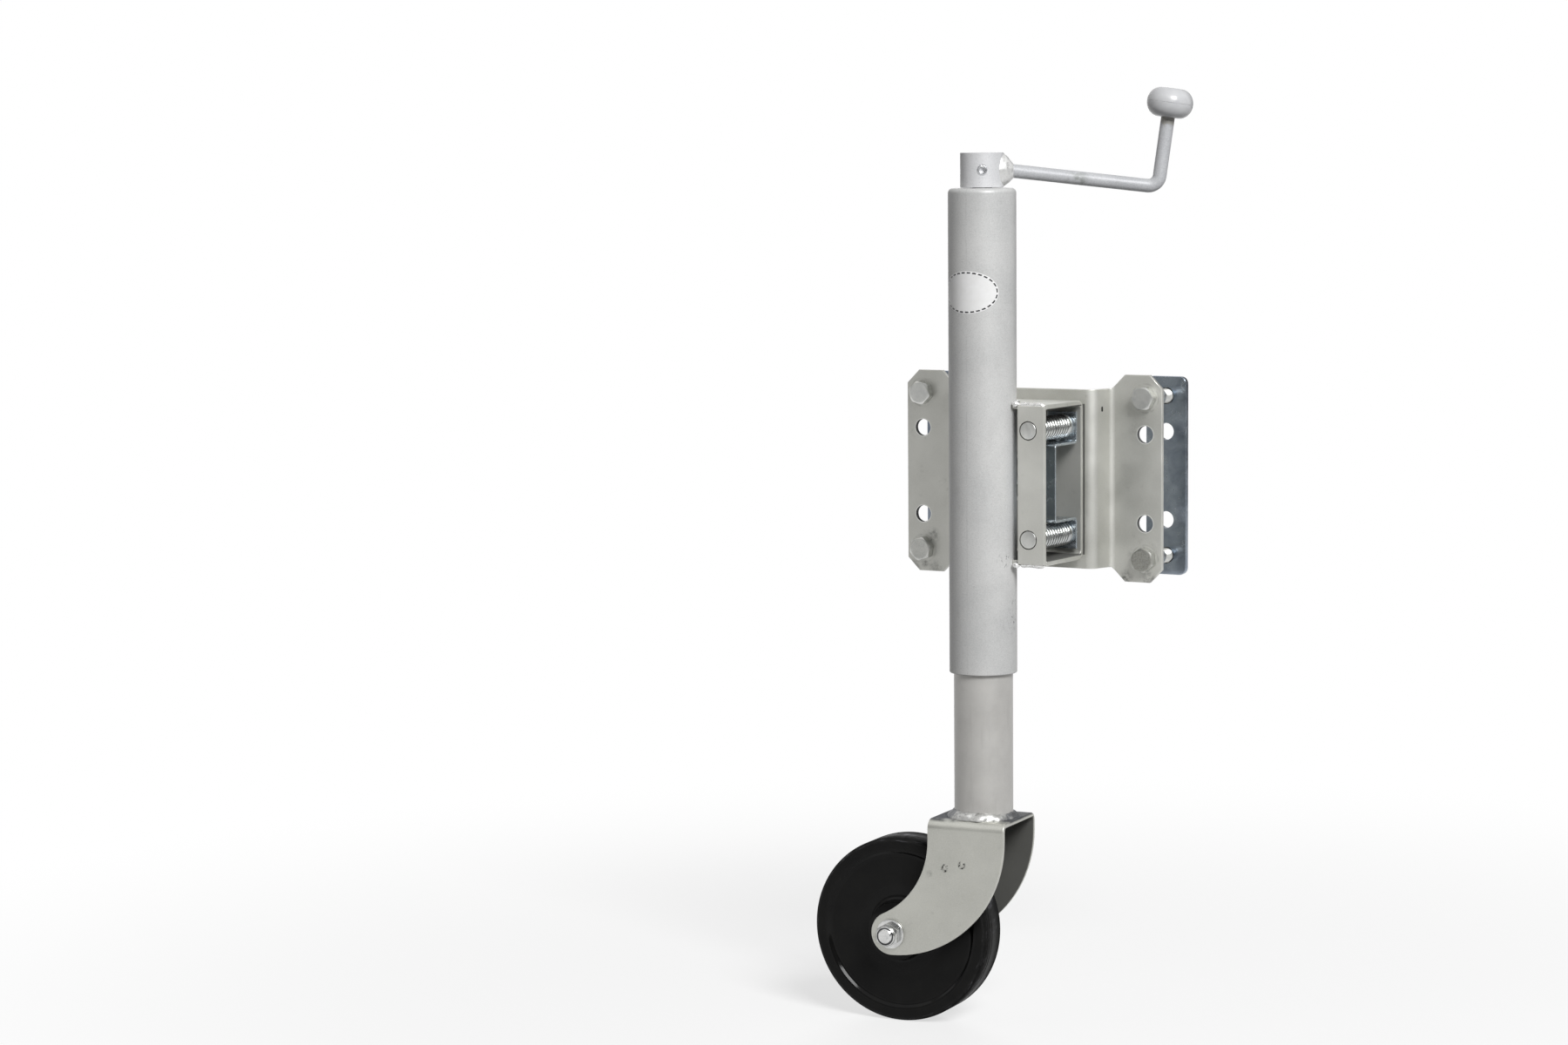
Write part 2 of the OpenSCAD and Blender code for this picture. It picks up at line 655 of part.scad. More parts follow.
// Side view of the legs: straight at the top, then two arcs that run smoothly into the rounded end
function fork_outline() = let (
        axle = [-trail, axle_z],
        front_z = fork_top_z - leg_front_straight,
        back_z = fork_top_z - leg_back_straight,
        front_run = trail - fork_front,
        back_run = trail + fork_back,
        front_rise = front_z - axle_z,
        back_rise = back_z - axle_z,
        front_r = (front_run ^ 2 + front_rise ^ 2 - fork_end_r ^ 2) / (2 * (front_run + fork_end_r)),
        back_r = (back_run ^ 2 + back_rise ^ 2 - fork_end_r ^ 2) / (2 * (back_run - fork_end_r)),
        front_centre = [-fork_front - front_r, front_z],
        back_centre = [fork_back - back_r, back_z],
        to_axle = axle - front_centre,
        front_angle = atan2(to_axle[1], to_axle[0]),
        from_back = axle - back_centre,
        back_angle = atan2(from_back[1], from_back[0]))
    concat(
        [[fork_back, fork_top_z + cut], [-fork_front, fork_top_z + cut]],
        arc(front_centre, front_r, 0, front_angle, 16),
        arc(axle, fork_end_r, front_angle + 180, back_angle + 360, 20),
        arc(back_centre, back_r, back_angle, 0, 24));

// The axle bolt's head is on the tongue's side, its nut in front
module axle_bolt() color(zinc) at_axle() {
    reach = fork_w + 2 * washer_t(axle_d) + nut_h(axle_d) + axle_out;
    translate([0, 0, -fork_w / 2 - washer_t(axle_d)]) hex_bolt(axle_d, reach);
}

module axle_washers() color(zinc) at_axle() for (z = [-fork_w / 2 - washer_t(axle_d), fork_w / 2])
    translate([0, 0, z]) flat_washer(washer_d(axle_d), axle_d + 2 * seat_fit, washer_t(axle_d));

// A lock nut: a hexagon with a round collar that holds a plastic ring
module axle_nut() color(zinc) at_axle() translate([0, 0, axle_nut_z]) {
    hex_nut(axle_d, axle_hex_h);
    ring(head_af(axle_d) * hex_round / 2 - seat_fit, axle_d / 2 + lock_ring_wall,
        axle_hex_h - cut, nut_h(axle_d) - axle_hex_h + cut);
}

module axle_nut_ring() color(white_nylon) at_axle()
    ring(axle_d / 2 + lock_ring_wall, axle_d / 2 + seat_fit,
        axle_nut_z + axle_hex_h, nut_h(axle_d) - axle_hex_h - face_gap);

module axle_sleeve() color(zinc) at_axle()
    ring(sleeve_r, axle_d / 2 + seat_fit, -fork_in_w / 2, fork_in_w);

module side_washers() color(zinc) at_axle() for (z = [-fork_in_w / 2, fork_in_w / 2 - side_washer_t])
    translate([0, 0, z]) flat_washer(side_washer_d, 2 * (sleeve_r + seat_fit), side_washer_t);

// Wheel: a moulded disc with a raised rim and a long hub
module wheel() color(black_plastic) at_axle() rotate_extrude() {
    r = wheel_d / 2;
    half = wheel_w / 2;
    face = half - wheel_recess;
    groove = 1;
    hub_edge = 1;
    right = concat(
        [[bush_r + seat_fit, wheel_hub_len / 2], [wheel_hub_d / 2 - hub_edge, wheel_hub_len / 2],
            [wheel_hub_d / 2, wheel_hub_len / 2 - hub_edge], [wheel_hub_d / 2 + hub_edge, face],
            [r - wheel_band - wheel_recess / 2, face], [r - wheel_band, half]],
        arc([r - tread_edge_r, half - tread_edge_r], tread_edge_r, 90, 0, 6));
    left = [for (i = [len(right) - 1:-1:0]) [right[i][0], -right[i][1]]];
    pitch = wheel_w / 8;
    tread = [for (i = [0:tread_grooves - 1]) let (y = (wheel_w / 2 - tread_edge_r - pitch / 2) - i * pitch)
        each [[r, y + groove / 2], [r - groove / 2, y], [r, y - groove / 2]]];
    polygon(concat(right, tread, left));
}

module wheel_bush() color(white_nylon) at_axle()
    ring(bush_r, sleeve_r + run_fit, -wheel_hub_len / 2, wheel_hub_len);

// Lock

// A strip bent to a hat: its feet carry the pins, and fingers hook behind its grip
module pull_handle() color(zinc) difference() {
    foot_y = foot_back_y - handle_t / 2;
    grip_y = grip_front_y + handle_t / 2;
    z = grip_half_h + handle_t / 2;
    line = [[foot_y, foot_half_h], [foot_y, z], [grip_y, z],
        [grip_y, -z], [foot_y, -z], [foot_y, -foot_half_h]];
    along_x(lock_half - handle_w / 2, lock_half + handle_w / 2)
        polygon(sheet(line, handle_t, handle_bend_r));
    for (z = column(lock_pitch))
        bar_y(pin_d + 2 * seat_fit, lock_half, z, foot_front_y - cut, foot_back_y + cut);
}

// The pin's tip has a short lead so that it finds its hole
module lock_pin(z) color(zinc) translate([lock_half, frame_front_y, z]) rotate([-90, 0, 0]) rotate_extrude() {
    length = pin_tip_y - frame_front_y;
    lead = 1;
    polygon([[0, 0], [pin_d / 2, 0], [pin_d / 2, length - lead], [pin_d / 2 - lead, length], [0, length]]);
}

module upper_lock_pin() lock_pin(lock_half);

module lower_lock_pin() lock_pin(-lock_half);

module spring_washers() color(zinc) for (z = column(lock_pitch))
    translate([lock_half, foot_front_y, z]) rotate([90, 0, 0])
        flat_washer(spring_d, pin_d + 2 * seat_fit, spring_washer_t);

// A lock spring's wire, laid out on the unrolled cylinder as [round, along, angle from the axis].
// Each end stands straight for one wire diameter and then bends into the curls.
spring_bend_r = 1.2 * spring_wire;
spring_end = spring_wire + spring_bend_r;
spring_round = spring_curls * 2 * PI * spring_r;
spring_tilt = 90 - atan((spring_len - 2 * spring_end) / spring_round);
wire_sides = 6;
bend_rings = 3;
bend_out = spring_bend_r * (1 - cos(spring_tilt));
total_round = spring_round + 2 * bend_out;
spring_start = concat(
    [[0, 0, 0], [0, spring_wire, 0]],
    [for (i = [1:bend_rings]) let (a = spring_tilt * i / bend_rings)
        [spring_bend_r * (1 - cos(a)), spring_wire + spring_bend_r * sin(a), a]]);
spring_first = spring_start[len(spring_start) - 1];
spring_rings = spring_curls * rings_per_curl;
spring_path = concat(
    spring_start,
    [for (i = [1:spring_rings - 1]) [
        spring_first[0] + spring_round * i / spring_rings,
        spring_first[1] + (spring_len - 2 * spring_first[1]) * i / spring_rings,
        spring_tilt]],
    [for (i = [len(spring_start) - 1:-1:0]) let (s = spring_start[i])
        [total_round - s[0], spring_len - s[1], s[2]]]);

function spring_middle(s) = let (a = s[0] / spring_r * 180 / PI) [spring_r * cos(a), spring_r * sin(a), s[1]];

function wire_ring(s) = let (
        a = s[0] / spring_r * 180 / PI,
        out = [cos(a), sin(a), 0],
        along = [-sin(a) * sin(s[2]), cos(a) * sin(s[2]), cos(s[2])],
        across = cross(along, out))
    [for (k = [0:wire_sides - 1]) let (b = 360 * k / wire_sides)
        spring_middle(s) + spring_wire / 2 * (cos(b) * out + sin(b) * across)];

// Least gap of the wire to itself, between points at least half a curl apart
function spring_least_gap() = let (
        middles = [for (s = spring_path) spring_middle(s)],
        last = len(middles) - 1,
        half_curl = PI * spring_r)
    min([for (i = [0:last], j = [i + 1:1:last])
        if (spring_path[j][0] - spring_path[i][0] > half_curl) norm(middles[j] - middles[i])]) - spring_wire;

module lock_spring(z) color(zinc) {
    echo(str("least gap of the lock spring to itself: ", spring_least_gap(), " mm"));
    points = [for (s = spring_path) each wire_ring(s)];
    last = len(spring_path) - 1;
    sides = [for (i = [0:last - 1], k = [0:wire_sides - 1]) let (
            a = i * wire_sides + k,
            b = i * wire_sides + (k + 1) % wire_sides)
        each [[a, b, a + wire_sides], [b, b + wire_sides, a + wire_sides]]];
    first_cap = [for (k = [1:wire_sides - 2]) [0, k + 1, k]];
    last_cap = [for (k = [1:wire_sides - 2]) last * wire_sides * [1, 1, 1] + [0, k, k + 1]];
    translate([lock_half, legs_front_y, z]) rotate([-90, 0, 0])
        polyhedron(points, concat(sides, first_cap, last_cap));
}

module upper_lock_spring() lock_spring(lock_half);

module lower_lock_spring() lock_spring(-lock_half);

mount_plate();
left_strap();
right_strap();
clamp_bolts();
clamp_washers();
clamp_nuts();
pivot_bolt();
pivot_spacer();
pivot_washer();
pivot_nut();
outer_tube();
bearing_plate();
upper_race();
swivel_frame();
front_plate();
crank_hub();
crank_arm();
roll_pin();
lead_screw();
thrust_collar();
collar_pin();
lower_race();
bearing_balls();
ball_cage();
knob();
lift_nut();
nut_clip();
inner_tube();
nut_seat();
fork();
axle_bolt();
axle_washers();
axle_nut();
axle_nut_ring();
axle_sleeve();
side_washers();
wheel();
wheel_bush();
pull_handle();
upper_lock_pin();
lower_lock_pin();
spring_washers();
upper_lock_spring();
lower_lock_spring();
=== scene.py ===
import math
import random

import bmesh
import bpy
from mathutils import Matrix, Vector, noise


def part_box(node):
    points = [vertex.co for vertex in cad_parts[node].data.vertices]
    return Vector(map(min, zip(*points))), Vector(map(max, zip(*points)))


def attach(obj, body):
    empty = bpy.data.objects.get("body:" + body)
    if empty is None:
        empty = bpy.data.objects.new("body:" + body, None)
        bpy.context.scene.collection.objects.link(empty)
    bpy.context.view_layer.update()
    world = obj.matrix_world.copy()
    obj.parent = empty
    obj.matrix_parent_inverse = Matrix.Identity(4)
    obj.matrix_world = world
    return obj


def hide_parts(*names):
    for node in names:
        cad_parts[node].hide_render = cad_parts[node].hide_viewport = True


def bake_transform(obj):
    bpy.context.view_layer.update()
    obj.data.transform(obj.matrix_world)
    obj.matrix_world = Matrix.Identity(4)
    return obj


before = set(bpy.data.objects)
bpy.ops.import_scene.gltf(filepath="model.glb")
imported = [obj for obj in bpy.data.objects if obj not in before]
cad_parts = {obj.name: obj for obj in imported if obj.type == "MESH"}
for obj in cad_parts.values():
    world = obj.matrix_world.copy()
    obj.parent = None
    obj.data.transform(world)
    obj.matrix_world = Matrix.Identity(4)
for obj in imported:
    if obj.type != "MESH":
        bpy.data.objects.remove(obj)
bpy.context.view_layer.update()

# Stage. A pale floor under the wheel, a white surround, soft lamps, a dim curtain that only reflections
# see, and the camera that stands where the photograph was taken from. None of it belongs to the jack.
mm = 0.001
scene = bpy.context.scene
scene.view_settings.view_transform = "Standard"

eye_place = (1.40947, -2.76827, 0.26270)
yaw = math.radians(30.83)
pitch = math.radians(-5.55)
roll = math.radians(-0.47)
ahead = Vector((-math.sin(yaw) * math.cos(pitch), math.cos(yaw) * math.cos(pitch), math.sin(pitch)))
level = Vector((math.cos(yaw), math.sin(yaw), 0))
above = level.cross(ahead)
view_right = math.cos(roll) * level + math.sin(roll) * above
view_up = math.cos(roll) * above - math.sin(roll) * level
eye_turn = Matrix((view_right, view_up, -ahead)).transposed().to_4x4()
eye = bpy.data.objects.new("camera", bpy.data.cameras.new("camera"))
eye.data.sensor_width = 36
eye.data.lens = 85.97
eye.data.clip_end = 50
eye.matrix_world = Matrix.Translation(eye_place) @ eye_turn
scene.collection.objects.link(eye)
scene.camera = eye

lamp_target = Vector((0, -0.05, 0))


def soft_lamp(name, place, size, watts, colour=(1, 1, 1)):
    """A rectangular lamp that points at the jack."""
    lamp = bpy.data.lights.new(name, "AREA")
    lamp.shape = "RECTANGLE"
    lamp.size, lamp.size_y = size
    lamp.energy = watts
    lamp.color = colour
    holder = bpy.data.objects.new(name, lamp)
    holder.location = place
    holder.rotation_euler = (Vector(place) - lamp_target).to_track_quat("Z", "Y").to_euler()
    scene.collection.objects.link(holder)
    return holder


soft_lamp("key_lamp", (2.72, -2.28, 2.6), (1.75, 1.75), 205)
soft_lamp("left_lamp", (-2.0, -1.9, 1.2), (1.0, 1.4), 2, (1.0, 0.96, 0.88))
soft_lamp("right_lamp", (2.4, -0.5, 0.9), (0.8, 1.4), 1, (0.80, 0.89, 1.0))
back_lamp = soft_lamp("back_lamp", (-1.75, 2.95, 0.7), (2.2, 1.8), 90)
back_lamp.visible_camera = False
back_lamp.visible_glossy = False


def feed(tree, socket, value):
    """Links a socket to another node's output, or sets it to a plain value."""
    if hasattr(value, "is_linked"):
        tree.links.new(value, socket)
    else:
        socket.default_value = value


def shader_node(tree, kind, *values, **named):
    """A new node of that kind, with its first inputs and the named ones fed."""
    node = tree.nodes.new("ShaderNode" + kind)
    for socket, value in zip(node.inputs, values):
        feed(tree, socket, value)
    for name, value in named.items():
        feed(tree, node.inputs[name], value)
    return node


def seen_directly(tree):
    """1 for camera, mirrored and let-through rays, else 0."""
    path = shader_node(tree, "LightPath")
    total = path.outputs["Is Camera Ray"]
    for ray in ("Is Glossy Ray", "Is Transmission Ray"):
        most = shader_node(tree, "Math", total, path.outputs[ray])
        most.operation = "MAXIMUM"
        total = most.outputs[0]
    return total


surround = bpy.data.worlds.new("surround")
surround.use_nodes = True
scene.world = surround
sky = surround.node_tree
open_sky = sky.nodes["Background"]
open_sky.inputs["Color"].default_value = (1, 1, 1, 1)
sky_level = shader_node(sky, "MapRange", seen_directly(sky), 0, 1, 0.06, 1)
sky.links.new(sky_level.outputs["Result"], open_sky.inputs["Strength"])

floor_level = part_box("wheel")[0].z - 0.05 * mm
floor_radius = 7
floor_shape = bmesh.new()
bmesh.ops.create_circle(floor_shape, cap_ends=True, radius=floor_radius, segments=96)
bmesh.ops.translate(floor_shape, verts=floor_shape.verts, vec=(0, 0, floor_level))
floor_mesh = bpy.data.meshes.new("floor")
floor_shape.to_mesh(floor_mesh)
floor = bpy.data.objects.new("floor", floor_mesh)
scene.collection.objects.link(floor)

floor_paint = bpy.data.materials.new("floor_paint")
floor_paint.use_nodes = True
tree = floor_paint.node_tree
matt = tree.nodes["Principled BSDF"]
matt.inputs["Base Color"].default_value = (0.90, 0.90, 0.90, 1)
matt.inputs["Roughness"].default_value = 0.9
matt.inputs["Specular IOR Level"].default_value = 0.0
bounce = shader_node(tree, "BsdfDiffuse", (0.16, 0.16, 0.16, 1))
white = shader_node(tree, "Emission")
spot = shader_node(tree, "NewGeometry")
reach = shader_node(tree, "VectorMath", spot.outputs["Position"])
reach.operation = "LENGTH"
far = shader_node(tree, "MapRange", reach.outputs["Value"], 0.45, 1.3, 0.65)
far.interpolation_type = "SMOOTHSTEP"
pale = shader_node(tree, "MixShader", far.outputs["Result"], matt.outputs[0], white.outputs[0])
join = shader_node(tree, "MixShader", seen_directly(tree), bounce.outputs[0], pale.outputs[0])
tree.links.new(join.outputs[0], tree.nodes["Material Output"].inputs["Surface"])
floor.data.materials.append(floor_paint)

curtain_radius = 4.6
curtain_height = 3.4
curtain_points = []
curtain_faces = []
for start, end, strips in ((-165, 35, 48), (54, 108, 16)):
    for i in range(strips + 1):
        a = math.radians(start + (end - start) * i / strips)
        if i < strips:
            k = len(curtain_points)
            curtain_faces.append((k, k + 2, k + 3, k + 1))
        for height in (0, curtain_height):
            foot = (curtain_radius * math.cos(a), curtain_radius * math.sin(a))
            curtain_points.append((*foot, floor_level + height))
curtain_mesh = bpy.data.meshes.new("curtain")
curtain_mesh.from_pydata(curtain_points, [], curtain_faces)
curtain = bpy.data.objects.new("curtain", curtain_mesh)
curtain.visible_camera = False
curtain.visible_diffuse = False
curtain.visible_shadow = False
scene.collection.objects.link(curtain)
curtain_cloth = bpy.data.materials.new("curtain_cloth")
curtain_cloth.use_nodes = True
cloth = curtain_cloth.node_tree
hung_at = shader_node(cloth, "NewGeometry")
hung_split = shader_node(cloth, "SeparateXYZ", hung_at.outputs["Position"])
shade = shader_node(cloth, "MapRange", hung_split.outputs["X"], -2.0, 1.5, 0.40, 0.10)
shade.interpolation_type = "SMOOTHSTEP"
dim = shader_node(cloth, "Emission", Strength=shade.outputs["Result"])
cloth.links.new(dim.outputs[0], cloth.nodes["Material Output"].inputs["Surface"])
curtain.data.materials.append(curtain_cloth)


# Mount plate. Pressed from one piece of 4 mm steel sheet into a wide hat, punched, and zinc plated to a
# satin olive silver. The flanges lie against the tongue. The bolts have rubbed rings round their holes, the
# spare holes have a painted highlight on their rims and painted shade inside, and a line of painted shadow
# falls where the swivel frame's edge stands.
def at(x, y, z):
    """A point given in millimetres."""
    return Vector((x * mm, y * mm, z * mm))


def edged(node, radius, steps=2, holes=()):
    """The CAD node's shape with its sharp edges eased, as a new mesh.
    The rims of the drilled holes, (x, z, radius), stay sharp."""
    shape = bmesh.new()
    shape.from_mesh(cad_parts[node].data)
    bmesh.ops.remove_doubles(shape, verts=shape.verts, dist=0.002 * mm)
    bmesh.ops.dissolve_limit(shape, angle_limit=math.radians(0.4), verts=shape.verts, edges=shape.edges)
    bmesh.ops.connect_verts_concave(shape, faces=[face for face in shape.faces if abs(face.normal.y) < 0.9])
    eased_share = shape.edges.layers.float.new("bevel_weight_edge")
    for edge in shape.edges:
        fold = edge.calc_face_angle(0)
        on_rim = any(
            all(math.hypot(v.co.x - x, v.co.z - z) < r + 0.2 * mm for v in edge.verts) for x, z, r in holes
        )
        edge.smooth = fold < math.radians(38)
        if fold > math.radians(50) and not on_rim:
            edge.smooth = True
            edge[eased_share] = 1
    for face in shape.faces:
        face.smooth = True
    rough = bpy.data.meshes.new(node + "_rough")
    shape.to_mesh(rough)
    work = bpy.data.objects.new(node + "_work", rough)
    scene.collection.objects.link(work)
    ease = work.modifiers.new("ease", "BEVEL")
    ease.width = radius
    ease.segments = steps
    ease.limit_method = "WEIGHT"
    ease.use_clamp_overlap = False
    level_faces = work.modifiers.new("level_faces", "WEIGHTED_NORMAL")
    level_faces.mode = "FACE_AREA"
    level_faces.keep_sharp = True
    bpy.context.view_layer.update()
    made = bpy.data.meshes.new_from_object(work.evaluated_get(bpy.context.evaluated_depsgraph_get()))
    bpy.data.objects.remove(work)
    return made


def fitted(name, mesh, body, slot, finish, *nodes):
    """Puts a mesh in the scene as a piece that rides on a body and stands for its CAD nodes."""
    mesh.materials.clear()
    mesh.materials.append(finish)
    piece = bpy.data.objects.new(name, mesh)
    scene.collection.objects.link(piece)
    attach(piece, body)
    if nodes:
        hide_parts(*nodes)


class Finish:
    """A material under construction, with short words for the nodes that it needs."""

    def __init__(self, name, metallic, roughness):
        self.material = bpy.data.materials.new(name)
        self.material.use_nodes = True
        self.tree = self.material.node_tree
        self.skin = self.tree.nodes["Principled BSDF"]
        self.skin.inputs["Metallic"].default_value = metallic
        self.skin.inputs["Roughness"].default_value = roughness
        self.place = self.tree.nodes.new("ShaderNodeTexCoord").outputs["Object"]
        self.bump = None

    def node(self, kind, *values, **named):
        return shader_node(self.tree, kind, *values, **named)

    def grain(self, size, detail=3.0, roughness=0.55, stretch=(1, 1, 1), twist=0.0):
        """Noise with features of about that size in metres."""
        place = self.place
        if stretch != (1, 1, 1):
            place = self.vector("MULTIPLY", place, stretch)["Vector"]
        node = self.node("TexNoise", place, Scale=1 / size, Detail=detail)
        node.inputs["Roughness"].default_value = roughness
        node.inputs["Distortion"].default_value = twist
        return node.outputs["Fac"]

    def cells(self, size):
        """Flakes of about that size in metres, each of its own tone."""
        return self.node("TexVoronoi", self.place, Scale=1 / size).outputs["Color"]

    def spread(self, value, low, high, to_low=0.0, to_high=1.0, smooth=False):
        """A value's range from low to high, drawn out over another range."""
        node = self.node("MapRange", value, low, high, to_low, to_high)
        node.interpolation_type = "SMOOTHSTEP" if smooth else "LINEAR"
        return node.outputs["Result"]

    def fade(self, value, full, none, share=1.0):
        """The share where the value is below full, nothing where it is above none, eased between."""
        return self.spread(value, full, none, share, 0, True)

    def worked(self, kind, first, second=0.0):
        """What a Math node of that kind makes of two values."""
        node = self.node("Math", first, second)
        node.operation = kind
        return node.outputs[0]

    def vector(self, kind, first, second):
        """The outputs of a Vector Math node of that kind."""
        node = self.node("VectorMath", first, second)
        node.operation = kind
        return node.outputs

    def times(self, first, second):
        return self.worked("MULTIPLY", first, second)

    def gap(self, first, second):
        """How far one value is from another."""
        return self.worked("ABSOLUTE", self.worked("SUBTRACT", first, second))

    def mixed(self, share, first, second):
        """One colour over another, by a share from 0 to 1."""
        node = self.node("Mix")
        node.data_type = "RGBA"
        for name, value in (("Factor", share), ("A", first), ("B", second)):
            feed(self.tree, node.inputs[name], (*value, 1) if isinstance(value, tuple) else value)
        return node.outputs["Result"]

    def axis(self, which):
        return self.node("SeparateXYZ", self.place).outputs[which]

    def away(self, point):
        """Distance from a point, in metres."""
        return self.vector("DISTANCE", self.place, point)["Value"]

    def near(self, point, full, none, share=1.0):
        """A share that fades with the distance from a point."""
        return self.fade(self.away(point), full, none, share)

    def along(self, point, direction):
        """Distance along a direction from a point, in metres."""
        offset = self.vector("SUBTRACT", self.place, point)["Vector"]
        return self.vector("DOT_PRODUCT", offset, direction)["Value"]

    def off_plane(self, point, direction):
        """Distance from the plane through a point that is square to a direction, in metres."""
        return self.worked("ABSOLUTE", self.along(point, direction))

    def relief(self, height, depth, strength=1.0):
        """Raises the surface by depth metres where height is 1."""
        node = self.node("Bump", Strength=strength, Distance=depth, Height=height)
        if self.bump:
            feed(self.tree, node.inputs["Normal"], self.bump)
        self.bump = node.outputs["Normal"]

    def done(self, colour, roughness):
        """The finished material."""
        feed(self.tree, self.skin.inputs["Base Color"], colour)
        feed(self.tree, self.skin.inputs["Roughness"], roughness)
        if self.bump:
            feed(self.tree, self.skin.inputs["Normal"], self.bump)
        return self.material


def satin_plate(name, light, dark, metallic=0.72, rubs=(), dents=(), nicks=(), smudges=(), burns=(),
                shade_hollows=(), lit_and_shaded_bores=()):
    """Dull zinc on pressed sheet: cloudy, finely speckled, with faint long scratches.
    Rubs are (point, ring radius), dents and nicks (point, size), smudges and burns (point, size, share).
    Shade hollows are (slabs, share), each slab (point, direction, half width): painted shade, darker and
    duller where light does not reach.
    Lit and shaded bores are (point on the front face, radius): holes in 4 mm sheet with a painted highlight
    on the rim and painted shade on the wall."""
    sheet = Finish(name, metallic, 0.42)
    cloud = sheet.grain(38 * mm, 4)
    speck = sheet.grain(0.9 * mm, 2)
    scratch = sheet.grain(0.5 * mm, 2, stretch=(1, 1, 0.03))
    stain = sheet.spread(sheet.grain(9 * mm, 5), 0.62, 0.78, 0, 0.30, True)
    colour = sheet.mixed(sheet.spread(cloud, 0.3, 0.7), dark, light)
    colour = sheet.mixed(sheet.spread(speck, 0.35, 0.75, 0.0, 0.30), colour, (0.70, 0.70, 0.67))
    colour = sheet.mixed(stain, colour, (0.34, 0.34, 0.31))
    rough = sheet.spread(cloud, 0.3, 0.7, 0.36, 0.50)
    dull = 0.0
    for point, radius in rubs:
        share = sheet.fade(sheet.gap(sheet.away(point), radius), 0, 1.1 * mm, 0.35)
        share = sheet.times(share, sheet.spread(sheet.grain(7 * mm), 0.42, 0.62))
        colour = sheet.mixed(share, colour, (0.22, 0.22, 0.20))
    for point, size in dents:
        broken = sheet.spread(sheet.grain(1.6 * mm, 2), 0.46, 0.60)
        from_lip = sheet.gap(sheet.away(point), 0.62 * size)
        share = sheet.times(sheet.fade(from_lip, 0.1 * size, 0.42 * size), broken)
        colour = sheet.mixed(share, colour, (0.045, 0.045, 0.04))
        sheet.relief(sheet.spread(sheet.away(point), 0, size, 0, 1, True), 0.35 * mm)
    for point, size in nicks:
        colour = sheet.mixed(sheet.near(point, 0.5 * size, size), colour, (0.03, 0.03, 0.03))
    for point, size, strength in smudges:
        share = sheet.near(point, 0.15 * size, size, strength)
        share = sheet.times(share, sheet.spread(sheet.grain(4.5 * mm, 5, 0.65), 0.38, 0.66))
        colour = sheet.mixed(share, colour, (0.10, 0.10, 0.095))
    for point, size, strength in burns:
        ragged = sheet.spread(sheet.grain(9 * mm, 4), 0.3, 0.7, -0.2 * size, 0.2 * size)
        ragged = sheet.worked("ADD", sheet.away(point), ragged)
        on_top = sheet.fade(sheet.off_plane(point, (0, 0, 1)), 0.4 * mm, 2.5 * mm)
        share = sheet.times(sheet.fade(ragged, 0.45 * size, size, strength), on_top)
        colour = sheet.mixed(share, colour, (0.035, 0.038, 0.045))
        dull = sheet.worked("MAXIMUM", share, dull)
    # Painted shade: each hollow is coloured dark and made duller where light does not reach.
    for slabs, share in shade_hollows:
        for point, direction, half_width in slabs:
            inside = sheet.fade(sheet.off_plane(point, direction), half_width, half_width + 0.6 * mm)
            share = sheet.times(inside, share)
        colour = sheet.mixed(share, colour, (0.045, 0.045, 0.042))
        dull = sheet.worked("MAXIMUM", share, dull)
    # Painted highlight on each bore's rim, and painted shade on its wall.
    for point, radius in lit_and_shaded_bores:
        rim = sheet.fade(sheet.gap(sheet.away(point), 1.05 * radius), 0.15 * mm, 0.7 * mm, 0.85)
        colour = sheet.mixed(rim, colour, (0.92, 0.92, 0.89))
        from_middle = sheet.away(Vector(point) + at(0, 2, 0))
        share = sheet.spread(from_middle, 1.043 * radius, 1.06 * radius, 0.92, 0)
        colour = sheet.mixed(share, colour, (0.03, 0.03, 0.03))
        dull = sheet.worked("MAXIMUM", share, dull)
    # Burns, and the painted shade in hollows and bore walls, also leave the sheet less metallic and
    # rougher.
    if burns or shade_hollows or lit_and_shaded_bores:
        shine = sheet.spread(dull, 0, 1, metallic, 0.15 * metallic)
        feed(sheet.tree, sheet.skin.inputs["Metallic"], shine)
        rough = sheet.worked("ADD", rough, sheet.spread(dull, 0, 1, 0, 0.2))
    sheet.relief(scratch, 0.012 * mm, 0.6)
    sheet.relief(speck, 0.030 * mm, 0.6)
    return sheet.done(colour, rough)


flange_front = -4 * mm
web_front = -26 * mm
bolt_x = 103 * mm
bolt_z = 66 * mm
spare_z = 36.5 * mm
lock_x = 44 * mm
lock_z = 44 * mm
bolt_places = [(x, z) for x in (-bolt_x, bolt_x) for z in (-bolt_z, bolt_z)]
plate_holes = [(0, 0, 10.5 * mm)]
for side in (-1, 1):
    plate_holes += [(side * bolt_x, z, 7 * mm) for z in (-bolt_z, -spare_z, spare_z, bolt_z)]
    plate_holes += [(side * lock_x, z, 8 * mm) for z in (-lock_z, lock_z)]
plate_light = (0.66, 0.66, 0.62)
plate_dark = (0.55, 0.55, 0.51)
flange_smudges = [
    (-94, -55, 9, 0.75), (-110, -80, 8, 0.6), (-102, -79, 4.5, 1.0), (-92, -82, 9, 0.6), (86, -81, 8, 0.9),
    (106, -83, 10, 0.8), (92, -63, 7, 0.4), (112, -52, 10, 0.12), (95, 40, 12, 0.2),
]
